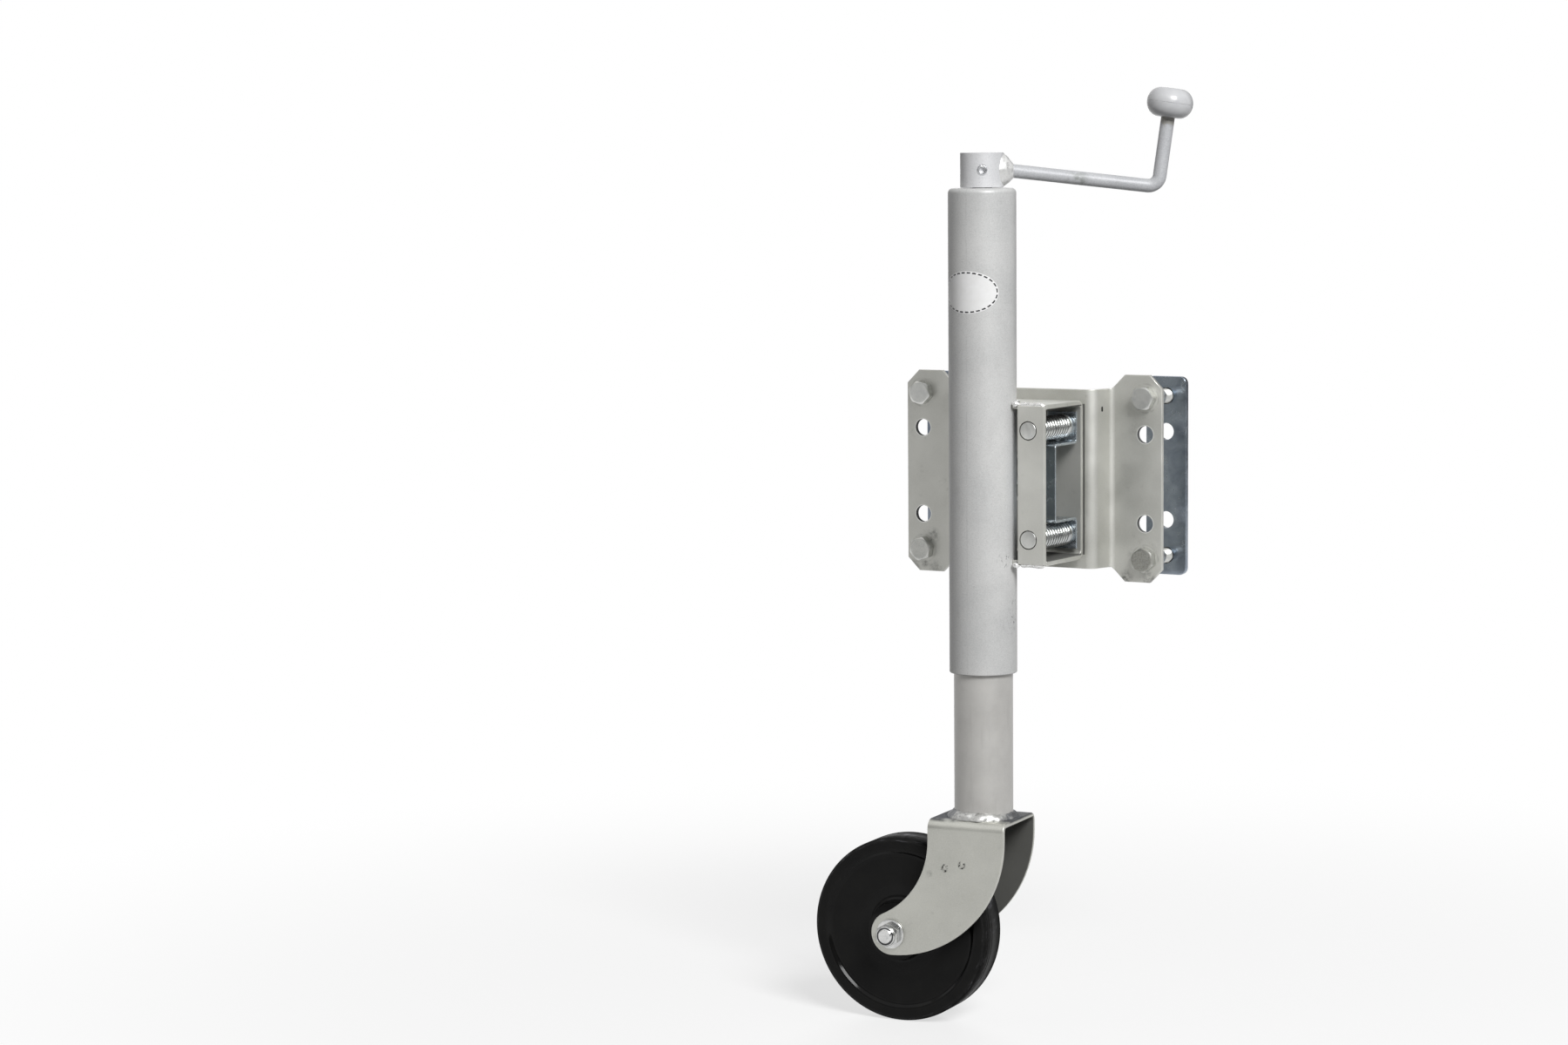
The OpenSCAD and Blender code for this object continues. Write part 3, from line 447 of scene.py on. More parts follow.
# Painted shadow: a dark line on the web along the swivel frame's edge.
frame_edge_shadow_line = (
    ((0, web_front, 0), (0, 1, 0), 0.2 * mm),
    (at(58.2, 0, 0), (1, 0, 0), 0.7 * mm),
    (at(0, 0, 0), (0, 0, 1), 61.5 * mm),
)
plate_finish = satin_plate(
    "satin_mount_plate", plate_light, plate_dark,
    rubs=[((x, flange_front, z), 11.8 * mm) for x, z in bolt_places],
    nicks=[(at(69.5, -15, z), 1.4 * mm) for z in (58.2, 57.1, 56)],
    smudges=[((x * mm, flange_front, z * mm), size * mm, share) for x, z, size, share in flange_smudges],
    shade_hollows=[(frame_edge_shadow_line, 0.85)],
    lit_and_shaded_bores=[((x, flange_front, z), 7 * mm) for x in (-bolt_x, bolt_x) for z in (-spare_z, spare_z)],
)
plate_mesh = edged("mount_plate", 0.7 * mm, 2, plate_holes)
fitted("pressed_mount_plate", plate_mesh, "mount", "dull_silver", plate_finish, "mount_plate")


# Backing straps. Two flat bars of 5 mm steel behind the tongue, sheared, drilled and bright zinc plated
# with a blue cast. Their zinc is painted dark as a reflection of the dark tongue.
def bright_zinc(name, light, dark, rough, drawn=(1, 1, 1), dirt=()):
    """Bright zinc: clear and slightly cloudy, with fine drawing lines and dulled patches.
    Dirt is (point on a face across the Y axis, size, share)."""
    zinc = Finish(name, 1.0, rough)
    cloud = zinc.grain(14 * mm, 4, twist=0.6)
    fine = zinc.grain(0.35 * mm, 2, stretch=drawn)
    dull = zinc.spread(zinc.grain(5 * mm, 4), 0.5, 0.72, 0, 1, True)
    colour = zinc.mixed(zinc.spread(cloud, 0.32, 0.68), dark, light)
    colour = zinc.mixed(zinc.times(dull, 0.25), colour, (0.40, 0.42, 0.43))
    roughness = zinc.spread(cloud, 0.3, 0.7, rough - 0.05, rough + 0.05)
    roughness = zinc.worked("ADD", roughness, zinc.times(dull, 0.10))
    for point, size, strength in dirt:
        caked = zinc.spread(zinc.grain(1.3 * mm, 4, 0.6), 0.25, 0.65, 0.55, 1)
        caked = zinc.times(zinc.fade(zinc.off_plane(point, (0, 1, 0)), 0.3 * mm, 0.9 * mm), caked)
        share = zinc.times(zinc.near(point, 0.5 * size, size, strength), caked)
        colour = zinc.mixed(share, colour, (0.15, 0.145, 0.115))
    zinc.relief(fine, 0.006 * mm, 0.7)
    return zinc.done(colour, roughness)


# Painted reflection: the straps' zinc is made dark, as if it mirrored the dark tongue.
strap_zinc_painted_dark = bright_zinc("blue_zinc_bars_painted_dark", (0.35, 0.395, 0.45), (0.22, 0.255, 0.31), 0.20, (0.04, 1, 1))
for side in ("left", "right"):
    bar = edged(f"{side}_strap", 0.6 * mm, 2, plate_holes)
    fitted(f"{side}_backing_bar", bar, "mount", "bright_zinc", strap_zinc_painted_dark, f"{side}_strap")


# Clamp bolts, washers and nuts. Standard hexagon set of 12 mm, zinc plated, with 18 mm heads.
# Each head stopped at its own angle when it was tightened. The thread starts behind the tongue's middle.
def smoothed(mesh, angle=33):
    """Shades a mesh smooth, apart from edges sharper than the angle in degrees."""
    mesh.shade_smooth()
    mesh.set_sharp_from_angle(angle=math.radians(angle))
    return mesh


def meshed(points, faces, angle, merged=False):
    """A mesh with its faces turned outward, shaded smooth up to the angle."""
    mesh = bpy.data.meshes.new("made")
    mesh.from_pydata(points, [], faces)
    shape = bmesh.new()
    shape.from_mesh(mesh)
    if merged:
        bmesh.ops.remove_doubles(shape, verts=shape.verts, dist=0.0005 * mm)
        bmesh.ops.dissolve_degenerate(shape, edges=shape.edges, dist=0.0002 * mm)
    bmesh.ops.recalc_face_normals(shape, faces=shape.faces)
    shape.to_mesh(mesh)
    return smoothed(mesh, angle)


def turned(rows, sides=96, loop=False):
    """A mesh round the Z axis. Each row is (radius, height), or a function of the angle that gives them."""
    points = []
    for row in rows:
        for i in range(sides):
            angle = 2 * math.pi * i / sides
            r, z = row(angle) if callable(row) else row
            points.append((r * math.cos(angle), r * math.sin(angle), z))
    faces = []
    count = len(rows)
    for a in range(count if loop else count - 1):
        b = (a + 1) % count
        for i in range(sides):
            j = (i + 1) % sides
            faces.append((a * sides + i, a * sides + j, b * sides + j, b * sides + i))
    return meshed(points, faces, 33, True)


def outline(*corners):
    """Corners of (radius, height) given in millimetres."""
    return [(r * mm, z * mm) for r, z in corners]


def eased(corners, radius, steps=3):
    """A closed outline of (radius, height) corners with each corner rounded."""
    rounded = []
    count = len(corners)
    for i in range(count):
        before, here, after = (Vector(corners[(i + k) % count]) for k in (-1, 0, 1))
        to_before = before - here
        to_after = after - here
        angle = to_before.angle(to_after)
        cut = min(radius / math.tan(angle / 2), 0.45 * to_before.length, 0.45 * to_after.length)
        if here.x < 1e-7 or angle > 3.1:
            rounded.append(tuple(here))
            continue
        start = here + to_before.normalized() * cut
        end = here + to_after.normalized() * cut
        for k in range(steps + 1):
            t = k / steps
            rounded.append(tuple((1 - t) ** 2 * start + 2 * t * (1 - t) * here + t * t * end))
    return rounded


def ring(outer, inner, low, high, ease=0.35 * mm, sides=64):
    """A washer, bush or collar round the Z axis, with eased edges."""
    return turned(eased([(inner, low), (outer, low), (outer, high), (inner, high)], ease), sides, True)


def hexagon(across, turn, angle):
    """Radius of a hexagon at an angle, with its corners eased a little."""
    inside = (angle - turn) % (math.pi / 3) - math.pi / 6
    return min(across / 2 / math.cos(inside), 0.985 * across / 2 / math.cos(math.pi / 6))


def hex_rows(across, low, high, turn, chamfer_low=False):
    """Rows of a hexagon from its low to its high face, whose corners are turned off at 30 degrees."""
    flat = 0.47 * across
    slope = math.tan(math.radians(30))

    def lip(z, sign):
        return lambda a: (hexagon(across, turn, a), z - sign * (hexagon(across, turn, a) - flat) * slope)

    rows = [(flat, low), lip(low, -1)] if chamfer_low else [lambda a: (hexagon(across, turn, a), low)]
    return rows + [lip(high, 1), (flat, high - 0.05 * mm), (flat - 0.3 * mm, high), (flat - 0.6 * mm, high)]


def thread_rows(radius, low, high, pitch, per_turn=6):
    """Rows of a right-hand thread that fades out at its low end and has a chamfer at its high end."""
    depth = 0.6 * pitch
    count = int((high - low) / pitch * per_turn)

    def row(z):
        fade = min(1, (z - low) / (2 * pitch))
        tip = max(0, 1 - (high - z) / (0.8 * pitch))

        def ridge(angle):
            phase = (z / pitch - angle / (2 * math.pi)) % 1
            height = min(1, max(0, 2.6 * abs(phase - 0.5) - 0.12))
            return radius - depth * fade * (1 - height) - 0.7 * depth * tip * height, z

        return ridge

    return [row(low + (high - low) * i / count) for i in range(count + 1)]


def flipped(row):
    """A row for turned(), mirrored in Z = 0."""
    if callable(row):
        return lambda angle: (row(angle)[0], -row(angle)[1])
    return row[0], -row[1]


hex_sides = 36


def hex_bolt(diameter, length, thread_from, pitch, turn):
    """A bolt along +Z whose head's seat is at Z = 0."""
    across = 1.5 * diameter
    head = 0.63 * diameter
    seat = 0.35 * mm
    radius = diameter / 2
    head_rows = [(0, head)] + hex_rows(across, seat, head, turn)[::-1]
    head_rows += [(0.47 * across, seat), (0.465 * across, 0), (radius + 0.5 * mm, 0), (radius, -0.5 * mm)]
    rows = [flipped(row) for row in head_rows]
    rows += [(radius, thread_from - 0.5 * mm)]
    rows += thread_rows(radius, thread_from, length, pitch) + [(0, length)]
    return turned(rows, hex_sides)


def hex_nut(across, height, bore, turn):
    """A nut that stands on Z = 0, chamfered on both faces, with a countersunk hole."""
    rows = hex_rows(across, 0, height, turn, True)
    rows += [(bore + 0.9 * mm, height), (bore, height - 0.8 * mm), (bore, 0.8 * mm), (bore + 0.9 * mm, 0)]
    return turned(rows, hex_sides, True)


def gathered(*placed):
    """One or more (mesh, matrix) pairs as one mesh."""
    whole = bmesh.new()
    for mesh, matrix in placed:
        copy = mesh.copy()
        copy.transform(matrix)
        whole.from_mesh(copy)
    made = bpy.data.meshes.new("gathered")
    whole.to_mesh(made)
    return smoothed(made)


def into_tongue(x, y, z):
    """Stands a piece at a point with its +Z along +Y."""
    return Matrix.Translation((x, y, z)) @ Matrix.Rotation(math.radians(-90), 4, "X")


bolt_zinc = bright_zinc(
    "bolt_zinc", (0.68, 0.685, 0.66), (0.54, 0.545, 0.525), 0.36,
    dirt=[((bolt_x, -11.5 * mm, -bolt_z), 15 * mm, 0.75), ((-bolt_x, -11.5 * mm, -bolt_z), 12 * mm, 0.35)],
)
nut_bore = 6.05 * mm
washer_back = 41 * mm
nut_back = 43.4 * mm
flat_washer = ring(12 * mm, nut_bore, 0, 2.4 * mm)
bolts = []
washers = []
nuts = []
for (x, z), degrees in zip(bolt_places, (17, -15, 38, 5)):
    turn = math.radians(degrees)
    bolt = hex_bolt(12 * mm, 61.36 * mm, 27 * mm, 1.75 * mm, -turn)
    bolts.append((bolt, into_tongue(x, flange_front, z)))
    washers.append((flat_washer, into_tongue(x, washer_back, z)))
    nuts.append((hex_nut(18 * mm, 9.96 * mm, nut_bore, 2 * turn), into_tongue(x, nut_back, z)))
fitted("hexagon_clamp_bolts", gathered(*bolts), "mount", "bright_zinc", bolt_zinc, "clamp_bolts")
fitted("clamp_flat_washers", gathered(*washers), "mount", "bright_zinc", bolt_zinc, "clamp_washers")
fitted("clamp_hexagon_nuts", gathered(*nuts), "mount", "bright_zinc", bolt_zinc, "clamp_nuts")

# Pivot bolt with its nut and washers. A 20 mm bolt whose head lies in the hollow of the mount plate;
# the jack's frame turns on it.
from_tongue = Matrix.Rotation(math.radians(90), 4, "X")
pivot_bore = 10.05 * mm
pivot_set = (
    ("pivot_hexagon_bolt", hex_bolt(20 * mm, 29.8 * mm, 11 * mm, 2.5 * mm, 0.2), -22, "pivot_bolt"),
    ("pivot_hexagon_nut", hex_nut(30 * mm, 16.6 * mm, pivot_bore, 0.4), -33.1, "pivot_nut"),
    ("pivot_spacer_ring", ring(19 * mm, pivot_bore, 0, 1.4 * mm), -26, "pivot_spacer"),
    ("pivot_washer_ring", ring(19 * mm, pivot_bore, 0, 1.5 * mm), -31.6, "pivot_washer"),
)
for name, mesh, y, node in pivot_set:
    on_pivot = Matrix.Translation((0, y * mm, 0)) @ from_tongue
    fitted(name, gathered((mesh, on_pivot)), "mount", "bright_zinc", bolt_zinc, node)

# Outer tube. Welded steel tube of 55 by 3 mm, its top spun over to a rounded shoulder, sprayed with a
# silver paint that dries to a fine speckle. Its own weld seam shows faintly down the front.
tube_axis = Vector((0, -92 * mm, 0))
tube_radius = 27.5 * mm


def silver_paint(name, light, dark, seam=False, scuffs=(), smudges=(), bare=None):
    """Silver paint with fine flake. Seam darkens a line down the front of the tube, scuffs and smudges are
    (point, size), and bare is (point, direction, length) of a stretch where the paint stops short."""
    paint = Finish(name, 0.10, 0.45)
    paint.skin.inputs["Specular IOR Level"].default_value = 0.25
    cloud = paint.grain(45 * mm, 4)
    flake = paint.cells(0.75 * mm)
    pepper = paint.grain(0.9 * mm, 3, 0.7)
    colour = paint.mixed(paint.spread(cloud, 0.3, 0.7), dark, light)
    colour = paint.mixed(paint.spread(flake, 0, 1, 0.0, 0.30), colour, (0.86, 0.86, 0.86))
    colour = paint.mixed(paint.spread(pepper, 0.54, 0.76, 0, 0.48), colour, (0.33, 0.33, 0.33))
    smear = paint.spread(paint.grain(20 * mm, 5, stretch=(1, 1, 0.35)), 0.60, 0.80, 0, 0.28, True)
    colour = paint.mixed(smear, colour, (0.40, 0.40, 0.39))
    if seam:
        wander = paint.spread(paint.grain(25 * mm, 2, stretch=(0, 0, 1)), 0, 1, -0.5 * mm, 0.5 * mm)
        line = paint.worked("ABSOLUTE", paint.worked("ADD", paint.axis("X"), wander))
        front = paint.spread(paint.axis("Y"), -100 * mm, -95 * mm, 1, 0)
        line = paint.times(paint.fade(line, 0.1 * mm, 0.9 * mm, 0.16), front)
        line = paint.times(line, paint.spread(paint.grain(16 * mm, 4), 0.35, 0.6))
        colour = paint.mixed(line, colour, (0.25, 0.25, 0.25))
    for point, size in scuffs:
        marks = paint.spread(paint.grain(1.5 * mm, 3, stretch=(1, 1, 0.45)), 0.60, 0.68)
        share = paint.times(paint.near(point, 0.2 * size, size), marks)
        colour = paint.mixed(share, colour, (0.09, 0.09, 0.10))
    for point, size in smudges:
        soft = paint.spread(paint.grain(5 * mm, 3), 0.40, 0.64, 0, 1, True)
        share = paint.times(paint.near(point, 0.1 * size, size, 0.6), soft)
        colour = paint.mixed(share, colour, (0.16, 0.18, 0.15))
    if bare:
        point, direction, length = bare
        ragged = paint.spread(paint.grain(6 * mm, 2), 0.3, 0.7, -1.8 * mm, 1.8 * mm)
        depth = paint.worked("ADD", paint.along(point, direction), ragged)
        share = paint.spread(depth, -length - 0.4 * mm, -length + 0.4 * mm)
        colour = paint.mixed(share, colour, (0.44, 0.43, 0.40))
    paint.relief(pepper, 0.05 * mm, 0.55)
    paint.relief(paint.grain(3.5 * mm, 2), 0.05 * mm, 0.4)
    return paint.done(colour, paint.spread(cloud, 0.3, 0.7, 0.40, 0.50))


tube_scuffs = [(at(27, -88, -108), 22 * mm), (at(25, -103, -60), 9 * mm), (at(9, -118, -84), 6 * mm)]
tube_paint = silver_paint("silver_tube_paint", (0.63, 0.63, 0.62), (0.53, 0.535, 0.53), True, tube_scuffs)
tube_rows = outline((24.5, -154), (27.1, -154), (27.5, -153.5))
tube_rows += [(tube_radius, z * mm) for z in range(-140, 230, 30)]
for degrees in range(0, 91, 10):
    a = math.radians(degrees)
    tube_rows.append(((23.5 + 4 * math.cos(a)) * mm, (234 + 4 * math.sin(a)) * mm))
tube_rows += outline((9.6, 238), (9, 237.5), (9, 235), (24.5, 235))
outer_tube = turned(tube_rows, 128, True)
outer_tube.transform(Matrix.Translation(tube_axis))
fitted("painted_outer_tube", outer_tube, "jack", "silver_paint", tube_paint, "outer_tube")

# Sticker. A blank oval of white vinyl with a dashed rim, die cut and stuck round the front of the outer
# tube. Its edge is pressed down to the paint.
sticker_height = 155 * mm
half_wide = 27.2 * mm
half_tall = 17.3 * mm
vinyl_lift = 0.16 * mm
pressed_lift = 0.02 * mm
dashes = 27
rings_out = 16
steps_round = 120
sticker = Finish("white_vinyl", 0.0, 0.35)
split = sticker.node("SeparateXYZ", sticker.node("UVMap").outputs["UV"])
from_dashes = sticker.gap(split.outputs["Y"], 1.5)
dash = sticker.worked("FRACT", sticker.times(split.outputs["X"], dashes))
ink = sticker.times(sticker.spread(from_dashes, 0.52, 0.66, 1, 0), sticker.spread(dash, 0.62, 0.66, 1, 0))
edge_line = sticker.spread(split.outputs["Y"], 0.10, 0.22, 0.5, 0)
worn = sticker.grain(6 * mm, 4)
vinyl = sticker.mixed(sticker.spread(worn, 0.3, 0.8), (0.93, 0.93, 0.93), (0.86, 0.86, 0.85))
vinyl = sticker.mixed(edge_line, vinyl, (0.20, 0.20, 0.20))
vinyl = sticker.mixed(ink, vinyl, (0.02, 0.02, 0.022))
vinyl_finish = sticker.done(vinyl, sticker.spread(worn, 0.3, 0.7, 0.28, 0.42))

bearings = [2 * math.pi * i / steps_round for i in range(steps_round + 1)]
rim = [(half_wide * math.cos(a), half_tall * math.sin(a)) for a in bearings]
rim_share = [0.0]
for first, second in zip(rim, rim[1:]):
    rim_share.append(rim_share[-1] + math.dist(first, second))
rim_share = [length / rim_share[-1] for length in rim_share]
sticker_points = []
sticker_uv = []
sticker_faces = []
for layer in range(rings_out + 1):
    share = layer / rings_out
    r = tube_radius + (vinyl_lift if layer < rings_out else pressed_lift)
    for i, a in enumerate(bearings[:-1]):
        swing = share * half_wide * math.cos(a) / tube_radius - math.pi / 2
        height = sticker_height + share * half_tall * math.sin(a)
        sticker_points.append((r * math.cos(swing), tube_axis.y + r * math.sin(swing), height))
        inward = half_wide * half_tall / math.hypot(half_tall * math.cos(a), half_wide * math.sin(a))
        sticker_uv.append((rim_share[i], (1 - share) * inward / mm))
for layer in range(rings_out):
    low = layer * steps_round
    high = low + steps_round
    for i in range(steps_round):
        j = (i + 1) % steps_round
        sticker_faces.append((low + i, high + i, high + j, low + j))
sticker_mesh = bpy.data.meshes.new("sticker")
sticker_mesh.from_pydata(sticker_points, [], sticker_faces)
uv_layer = sticker_mesh.uv_layers.new(name="around")
for loop in sticker_mesh.loops:
    uv_layer.data[loop.index].uv = sticker_uv[loop.vertex_index]
for polygon in sticker_mesh.polygons:
    wraps = [uv_layer.data[k].uv.x for k in polygon.loop_indices]
    if max(wraps) - min(wraps) > 0.5:
        for k in polygon.loop_indices:
            if uv_layer.data[k].uv.x < 0.5:
                uv_layer.data[k].uv.x += 1
sticker_shape = bmesh.new()
sticker_shape.from_mesh(sticker_mesh)
bmesh.ops.remove_doubles(sticker_shape, verts=sticker_shape.verts, dist=0.0005 * mm)
bmesh.ops.dissolve_degenerate(sticker_shape, edges=sticker_shape.edges, dist=0.0002 * mm)
sticker_shape.to_mesh(sticker_mesh)
fitted("blank_oval_sticker", smoothed(sticker_mesh), "jack", "white_nylon", vinyl_finish)

# Swivel frame and front plate. One strip of 4 mm steel bent to a channel, cut to fit the tube and welded
# to it, with a drilled plate welded over its open side that guides the lock pins.
frame_middle = at(0, -62, 0)
frame_inside_z = 61 * mm
between_ends = (frame_middle, (0, 1, 0), 30.7 * mm)
between_legs = (frame_middle, (0, 0, 1), frame_inside_z)
# Painted shade and shadow: the inner faces of the legs and of the back, and a line on the back leg's edge
# beside the mount plate, are coloured dark.
frame_finish = satin_plate(
    "satin_frame", plate_light, plate_dark,
    shade_hollows=[
        ((between_ends, ((0, 0, frame_inside_z), (0, 0, 1), 0.3 * mm)), 0.9),
        ((between_ends, ((0, 0, -frame_inside_z), (0, 0, 1), 0.3 * mm)), 0.9),
        (((at(0, -31.5, 0), (0, 1, 0), 0.2 * mm), between_legs), 0.35),
        (((at(0, -27.6, 0), (0, 1, 0), 0.1 * mm),), 0.85),
    ],
)
frame_mesh = edged("swivel_frame", 0.6 * mm, 2, plate_holes)
fitted("bent_swivel_frame", frame_mesh, "jack", "dull_silver", frame_finish, "swivel_frame")
front_finish = satin_plate("satin_front_plate", plate_light, plate_dark)
front_mesh = edged("front_plate", 0.6 * mm, 2, plate_holes)
fitted("drilled_front_plate", front_mesh, "jack", "dull_silver", front_finish, "front_plate")


# Welds of the swivel frame. Beads run by hand along the legs where they meet the tube and the front plate,
# then silvered with the rest.
def skinned(points, sides, angle):
    """A mesh over rings of that many points each, closed at both ends."""
    last = len(points) // sides - 1
    faces = []
    for i in range(last):
        low = i * sides
        high = low + sides
        for m in range(sides):
            n = (m + 1) % sides
            faces.append((low + m, low + n, high + n, high + m))
    faces.append(tuple(range(sides))[::-1])
    faces.append(tuple(last * sides + m for m in range(sides)))
    return meshed(points, faces, angle)


def weld_bead(path, radius, seed, ripple=2.6 * mm, sides=14):
    """A bead with ripples and lumps along a path of points."""
    draw = random.Random(seed)
    shift = Vector([draw.uniform(0, 90) for _ in range(3)])
    lengths = [0]
    for a, b in zip(path, path[1:]):
        lengths.append(lengths[-1] + (b - a).length)
    total = lengths[-1]
    points = []
    count = max(8, int(total / (0.35 * mm)))
    for i in range(count + 1):
        s = total * i / count
        k = max(1, next((n for n, v in enumerate(lengths) if v >= s - 1e-12), len(lengths) - 1))
        t = (s - lengths[k - 1]) / (lengths[k] - lengths[k - 1])
        here = path[k - 1].lerp(path[k], t)
        along = (path[k] - path[k - 1]).normalized()
        side = along.orthogonal().normalized()
        if abs(along.z) < 0.9:
            side = along.cross(Vector((0, 0, 1))).normalized()
        over = along.cross(side).normalized()
        phase = (s / ripple + 0.3 * noise.noise(Vector((s / (6 * mm), 0, 0)) + shift)) % 1
        taper = min(1, s / (1.4 * radius) + 0.25, (total - s) / (1.4 * radius) + 0.25)
        for m in range(sides):
            a = 2 * math.pi * m / sides
            out = side * math.cos(a) + over * math.sin(a)
            lump = noise.noise((here + out * radius) / (6.5 * mm) + shift)
            size = 1 + 0.05 * (phase ** 2 - 0.4) + 0.26 * lump
            points.append(here + out * radius * taper * size)
    return skinned(points, sides, 60)


def round_tube(radius, height, start, end, steps=60):
    """Points round the tube at a height, between two angles in degrees from +X."""
    points = []
    for i in range(steps + 1):
        a = math.radians(start + (end - start) * i / steps)
        points.append(tube_axis + Vector((radius * math.cos(a), radius * math.sin(a), height)))
    return points


weld = Finish("silvered_weld", 0.75, 0.34)
weld_pit = weld.grain(1.8 * mm, 3, 0.6)
weld_cloud = weld.grain(4 * mm, 3)
weld_colour = weld.mixed(weld.spread(weld_pit, 0.30, 0.52), (0.50, 0.50, 0.49), (0.90, 0.90, 0.89))
weld_colour = weld.mixed(weld.spread(weld_cloud, 0.52, 0.75, 0, 0.35), weld_colour, (0.42, 0.41, 0.38))
weld.relief(weld_pit, 0.12 * mm, 0.6)
silvered_weld = weld.done(weld_colour, weld.spread(weld_cloud, 0.3, 0.7, 0.20, 0.36))
beads = []
for sign in (1, -1):
    beads.append(weld_bead(round_tube(28.2 * mm, sign * 65.1 * mm, 0, 150), 2.0 * mm, 3 + sign))
    edge = [at(x, -95.6, sign * 64.5) for x in (35.5, 42, 50, 58)]
    beads.append(weld_bead(edge, 2.1 * mm, 11 + sign))
    tack = [at(x, y, sign * 65) for x, y in ((28.5, -94.5), (31.5, -95.5), (35.5, -96))]
    beads.append(weld_bead(tack, 2.7 * mm, 21 + sign))
all_beads = gathered(*((bead, Matrix()) for bead in beads))
fitted("frame_weld_beads", all_beads, "jack", "dull_silver", silvered_weld)

# Crank hub and roll pin. The hub is a turned collar on the screw's top, held by a rolled spring pin that
# goes through both. The pin's ends are bare and its bore is closed by paint.
# Painted light: the hub's paint is a lighter copy of the crank's silver paint.
lighter_hub_paint = silver_paint("lighter_silver_paint_on_hub", (0.74, 0.745, 0.76), (0.64, 0.645, 0.66))
hub_radius = 17.5 * mm
hub_middle = 252.4 * mm
crank_frame = Matrix.Translation(tube_axis) @ Matrix.Rotation(math.radians(28), 4, "Z")
through_hub = crank_frame @ into_tongue(0, 0, hub_middle)


def true_round(mesh, radius):
    """Points the shading of a turned wall straight out from the tube's axis, also beside a drilled hole."""
    normals = [Vector(corner.vector) for corner in mesh.corner_normals]
    for face in mesh.polygons:
        out = face.center - tube_axis
        out.z = 0
        if out.length < radius - 0.2 * mm or face.normal.dot(out.normalized()) < 0.97:
            continue
        for k in face.loop_indices:
            spoke = mesh.vertices[mesh.loops[k].vertex_index].co - tube_axis
            spoke.z = 0
            normals[k] = spoke.normalized()
    mesh.normals_split_custom_set(normals)
    return mesh


collar = ring(hub_radius, 8.05 * mm, 238.4 * mm, 266.4 * mm, 0.7 * mm, 128)
collar.transform(crank_frame)
drill = turned(outline((0, -20), (4.55, -20), (4.55, -17.2), (4.05, -16.7), (4.05, 16.7), (4.55, 17.2),
                       (4.55, 20), (0, 20)), 64)
drill.transform(through_hub)
collar_work = bpy.data.objects.new("collar_work", collar)
drill_work = bpy.data.objects.new("drill_work", drill)
for work in (collar_work, drill_work):
    scene.collection.objects.link(work)
bore = collar_work.modifiers.new("bore", "BOOLEAN")
bore.operation = "DIFFERENCE"
bore.solver = "EXACT"
bore.object = drill_work
bpy.context.view_layer.update()
drilled = bpy.data.meshes.new_from_object(collar_work.evaluated_get(bpy.context.evaluated_depsgraph_get()))
for work in (collar_work, drill_work):
    bpy.data.objects.remove(work)
hub_mesh = true_round(smoothed(drilled), hub_radius)
fitted("turned_crank_hub", hub_mesh, "crank", "silver_paint", lighter_hub_paint, "crank_hub")
plug = turned(outline((0, -13.6), (1.2, -13.9), (2.4, -15.0), (2.4, 15.0), (1.2, 13.9), (0, 13.6)), 32)
plug.transform(through_hub)
fitted("pin_bore_paint", smoothed(plug, 50), "crank", "silver_paint", lighter_hub_paint)
pin_zinc = bright_zinc("pin_zinc", (0.80, 0.81, 0.82), (0.64, 0.65, 0.67), 0.30)
fitted("rolled_spring_pin", edged("roll_pin", 0.15 * mm), "crank", "bright_zinc", pin_zinc, "roll_pin")

# Crank arm. One 11 mm round bar, bent once, welded to the hub and painted with it. The paint stops
# short of the knob.
bar_radius = 5.5 * mm
bar_sides = 32
arm_slope = math.radians(6.7)
riser_lean = math.radians(8)
bend_radius = 9 * mm
bend = math.radians(88.7)
knob_reach = 67.5 * mm
corner = at(141, 0, 237.892)
arm_way = Vector((math.cos(arm_slope), 0, -math.sin(arm_slope)))
riser_way = Vector((math.sin(riser_lean), 0, math.cos(riser_lean)))
bend_cut = bend_radius * math.tan(bend / 2)
arm_start = Vector((16.6 * mm, 0, hub_middle))
arm_end = corner - arm_way * bend_cut
bend_centre = arm_end + bend_radius * Vector((-arm_way.z, 0, arm_way.x))
arm_path = [arm_start.lerp(arm_end, i / 12) for i in range(12)]
for i in range(25):
    a = bend * i / 24
    back = bend_radius * (math.cos(a) * Vector((arm_way.z, 0, -arm_way.x)) + math.sin(a) * arm_way)
    arm_path.append(bend_centre + back)
riser_start = corner + riser_way * bend_cut
riser_end = corner + riser_way * 75.2 * mm
arm_path += [riser_start.lerp(riser_end, i / 8) for i in range(1, 9)]
across = Vector((0, 1, 0))
bar_points = []
for i, here in enumerate(arm_path):
    along = (arm_path[min(i + 1, len(arm_path) - 1)] - arm_path[max(i - 1, 0)]).normalized()
    over = along.cross(across)
    for m in range(bar_sides):
        a = 2 * math.pi * m / bar_sides
        bar_points.append(here + bar_radius * (math.cos(a) * across + math.sin(a) * over))
arm_mesh = skinned(bar_points, bar_sides, 50)
arm_mesh.transform(crank_frame)
knob_centre = crank_frame @ (corner + riser_way * knob_reach)
riser_line = (crank_frame.to_3x3() @ riser_way).normalized()
# Painted shade: the arm's paint is a darker copy of the hub's.
darker_arm_paint = silver_paint(
    "darker_silver_paint_on_arm", (0.50, 0.51, 0.53), (0.42, 0.43, 0.45),
    smudges=[(crank_frame @ at(76, -5, 242), 14 * mm)],
    bare=(knob_centre, riser_line, 17.5 * mm),
)
fitted("bent_crank_bar", arm_mesh, "crank", "silver_paint", darker_arm_paint, "crank_arm")

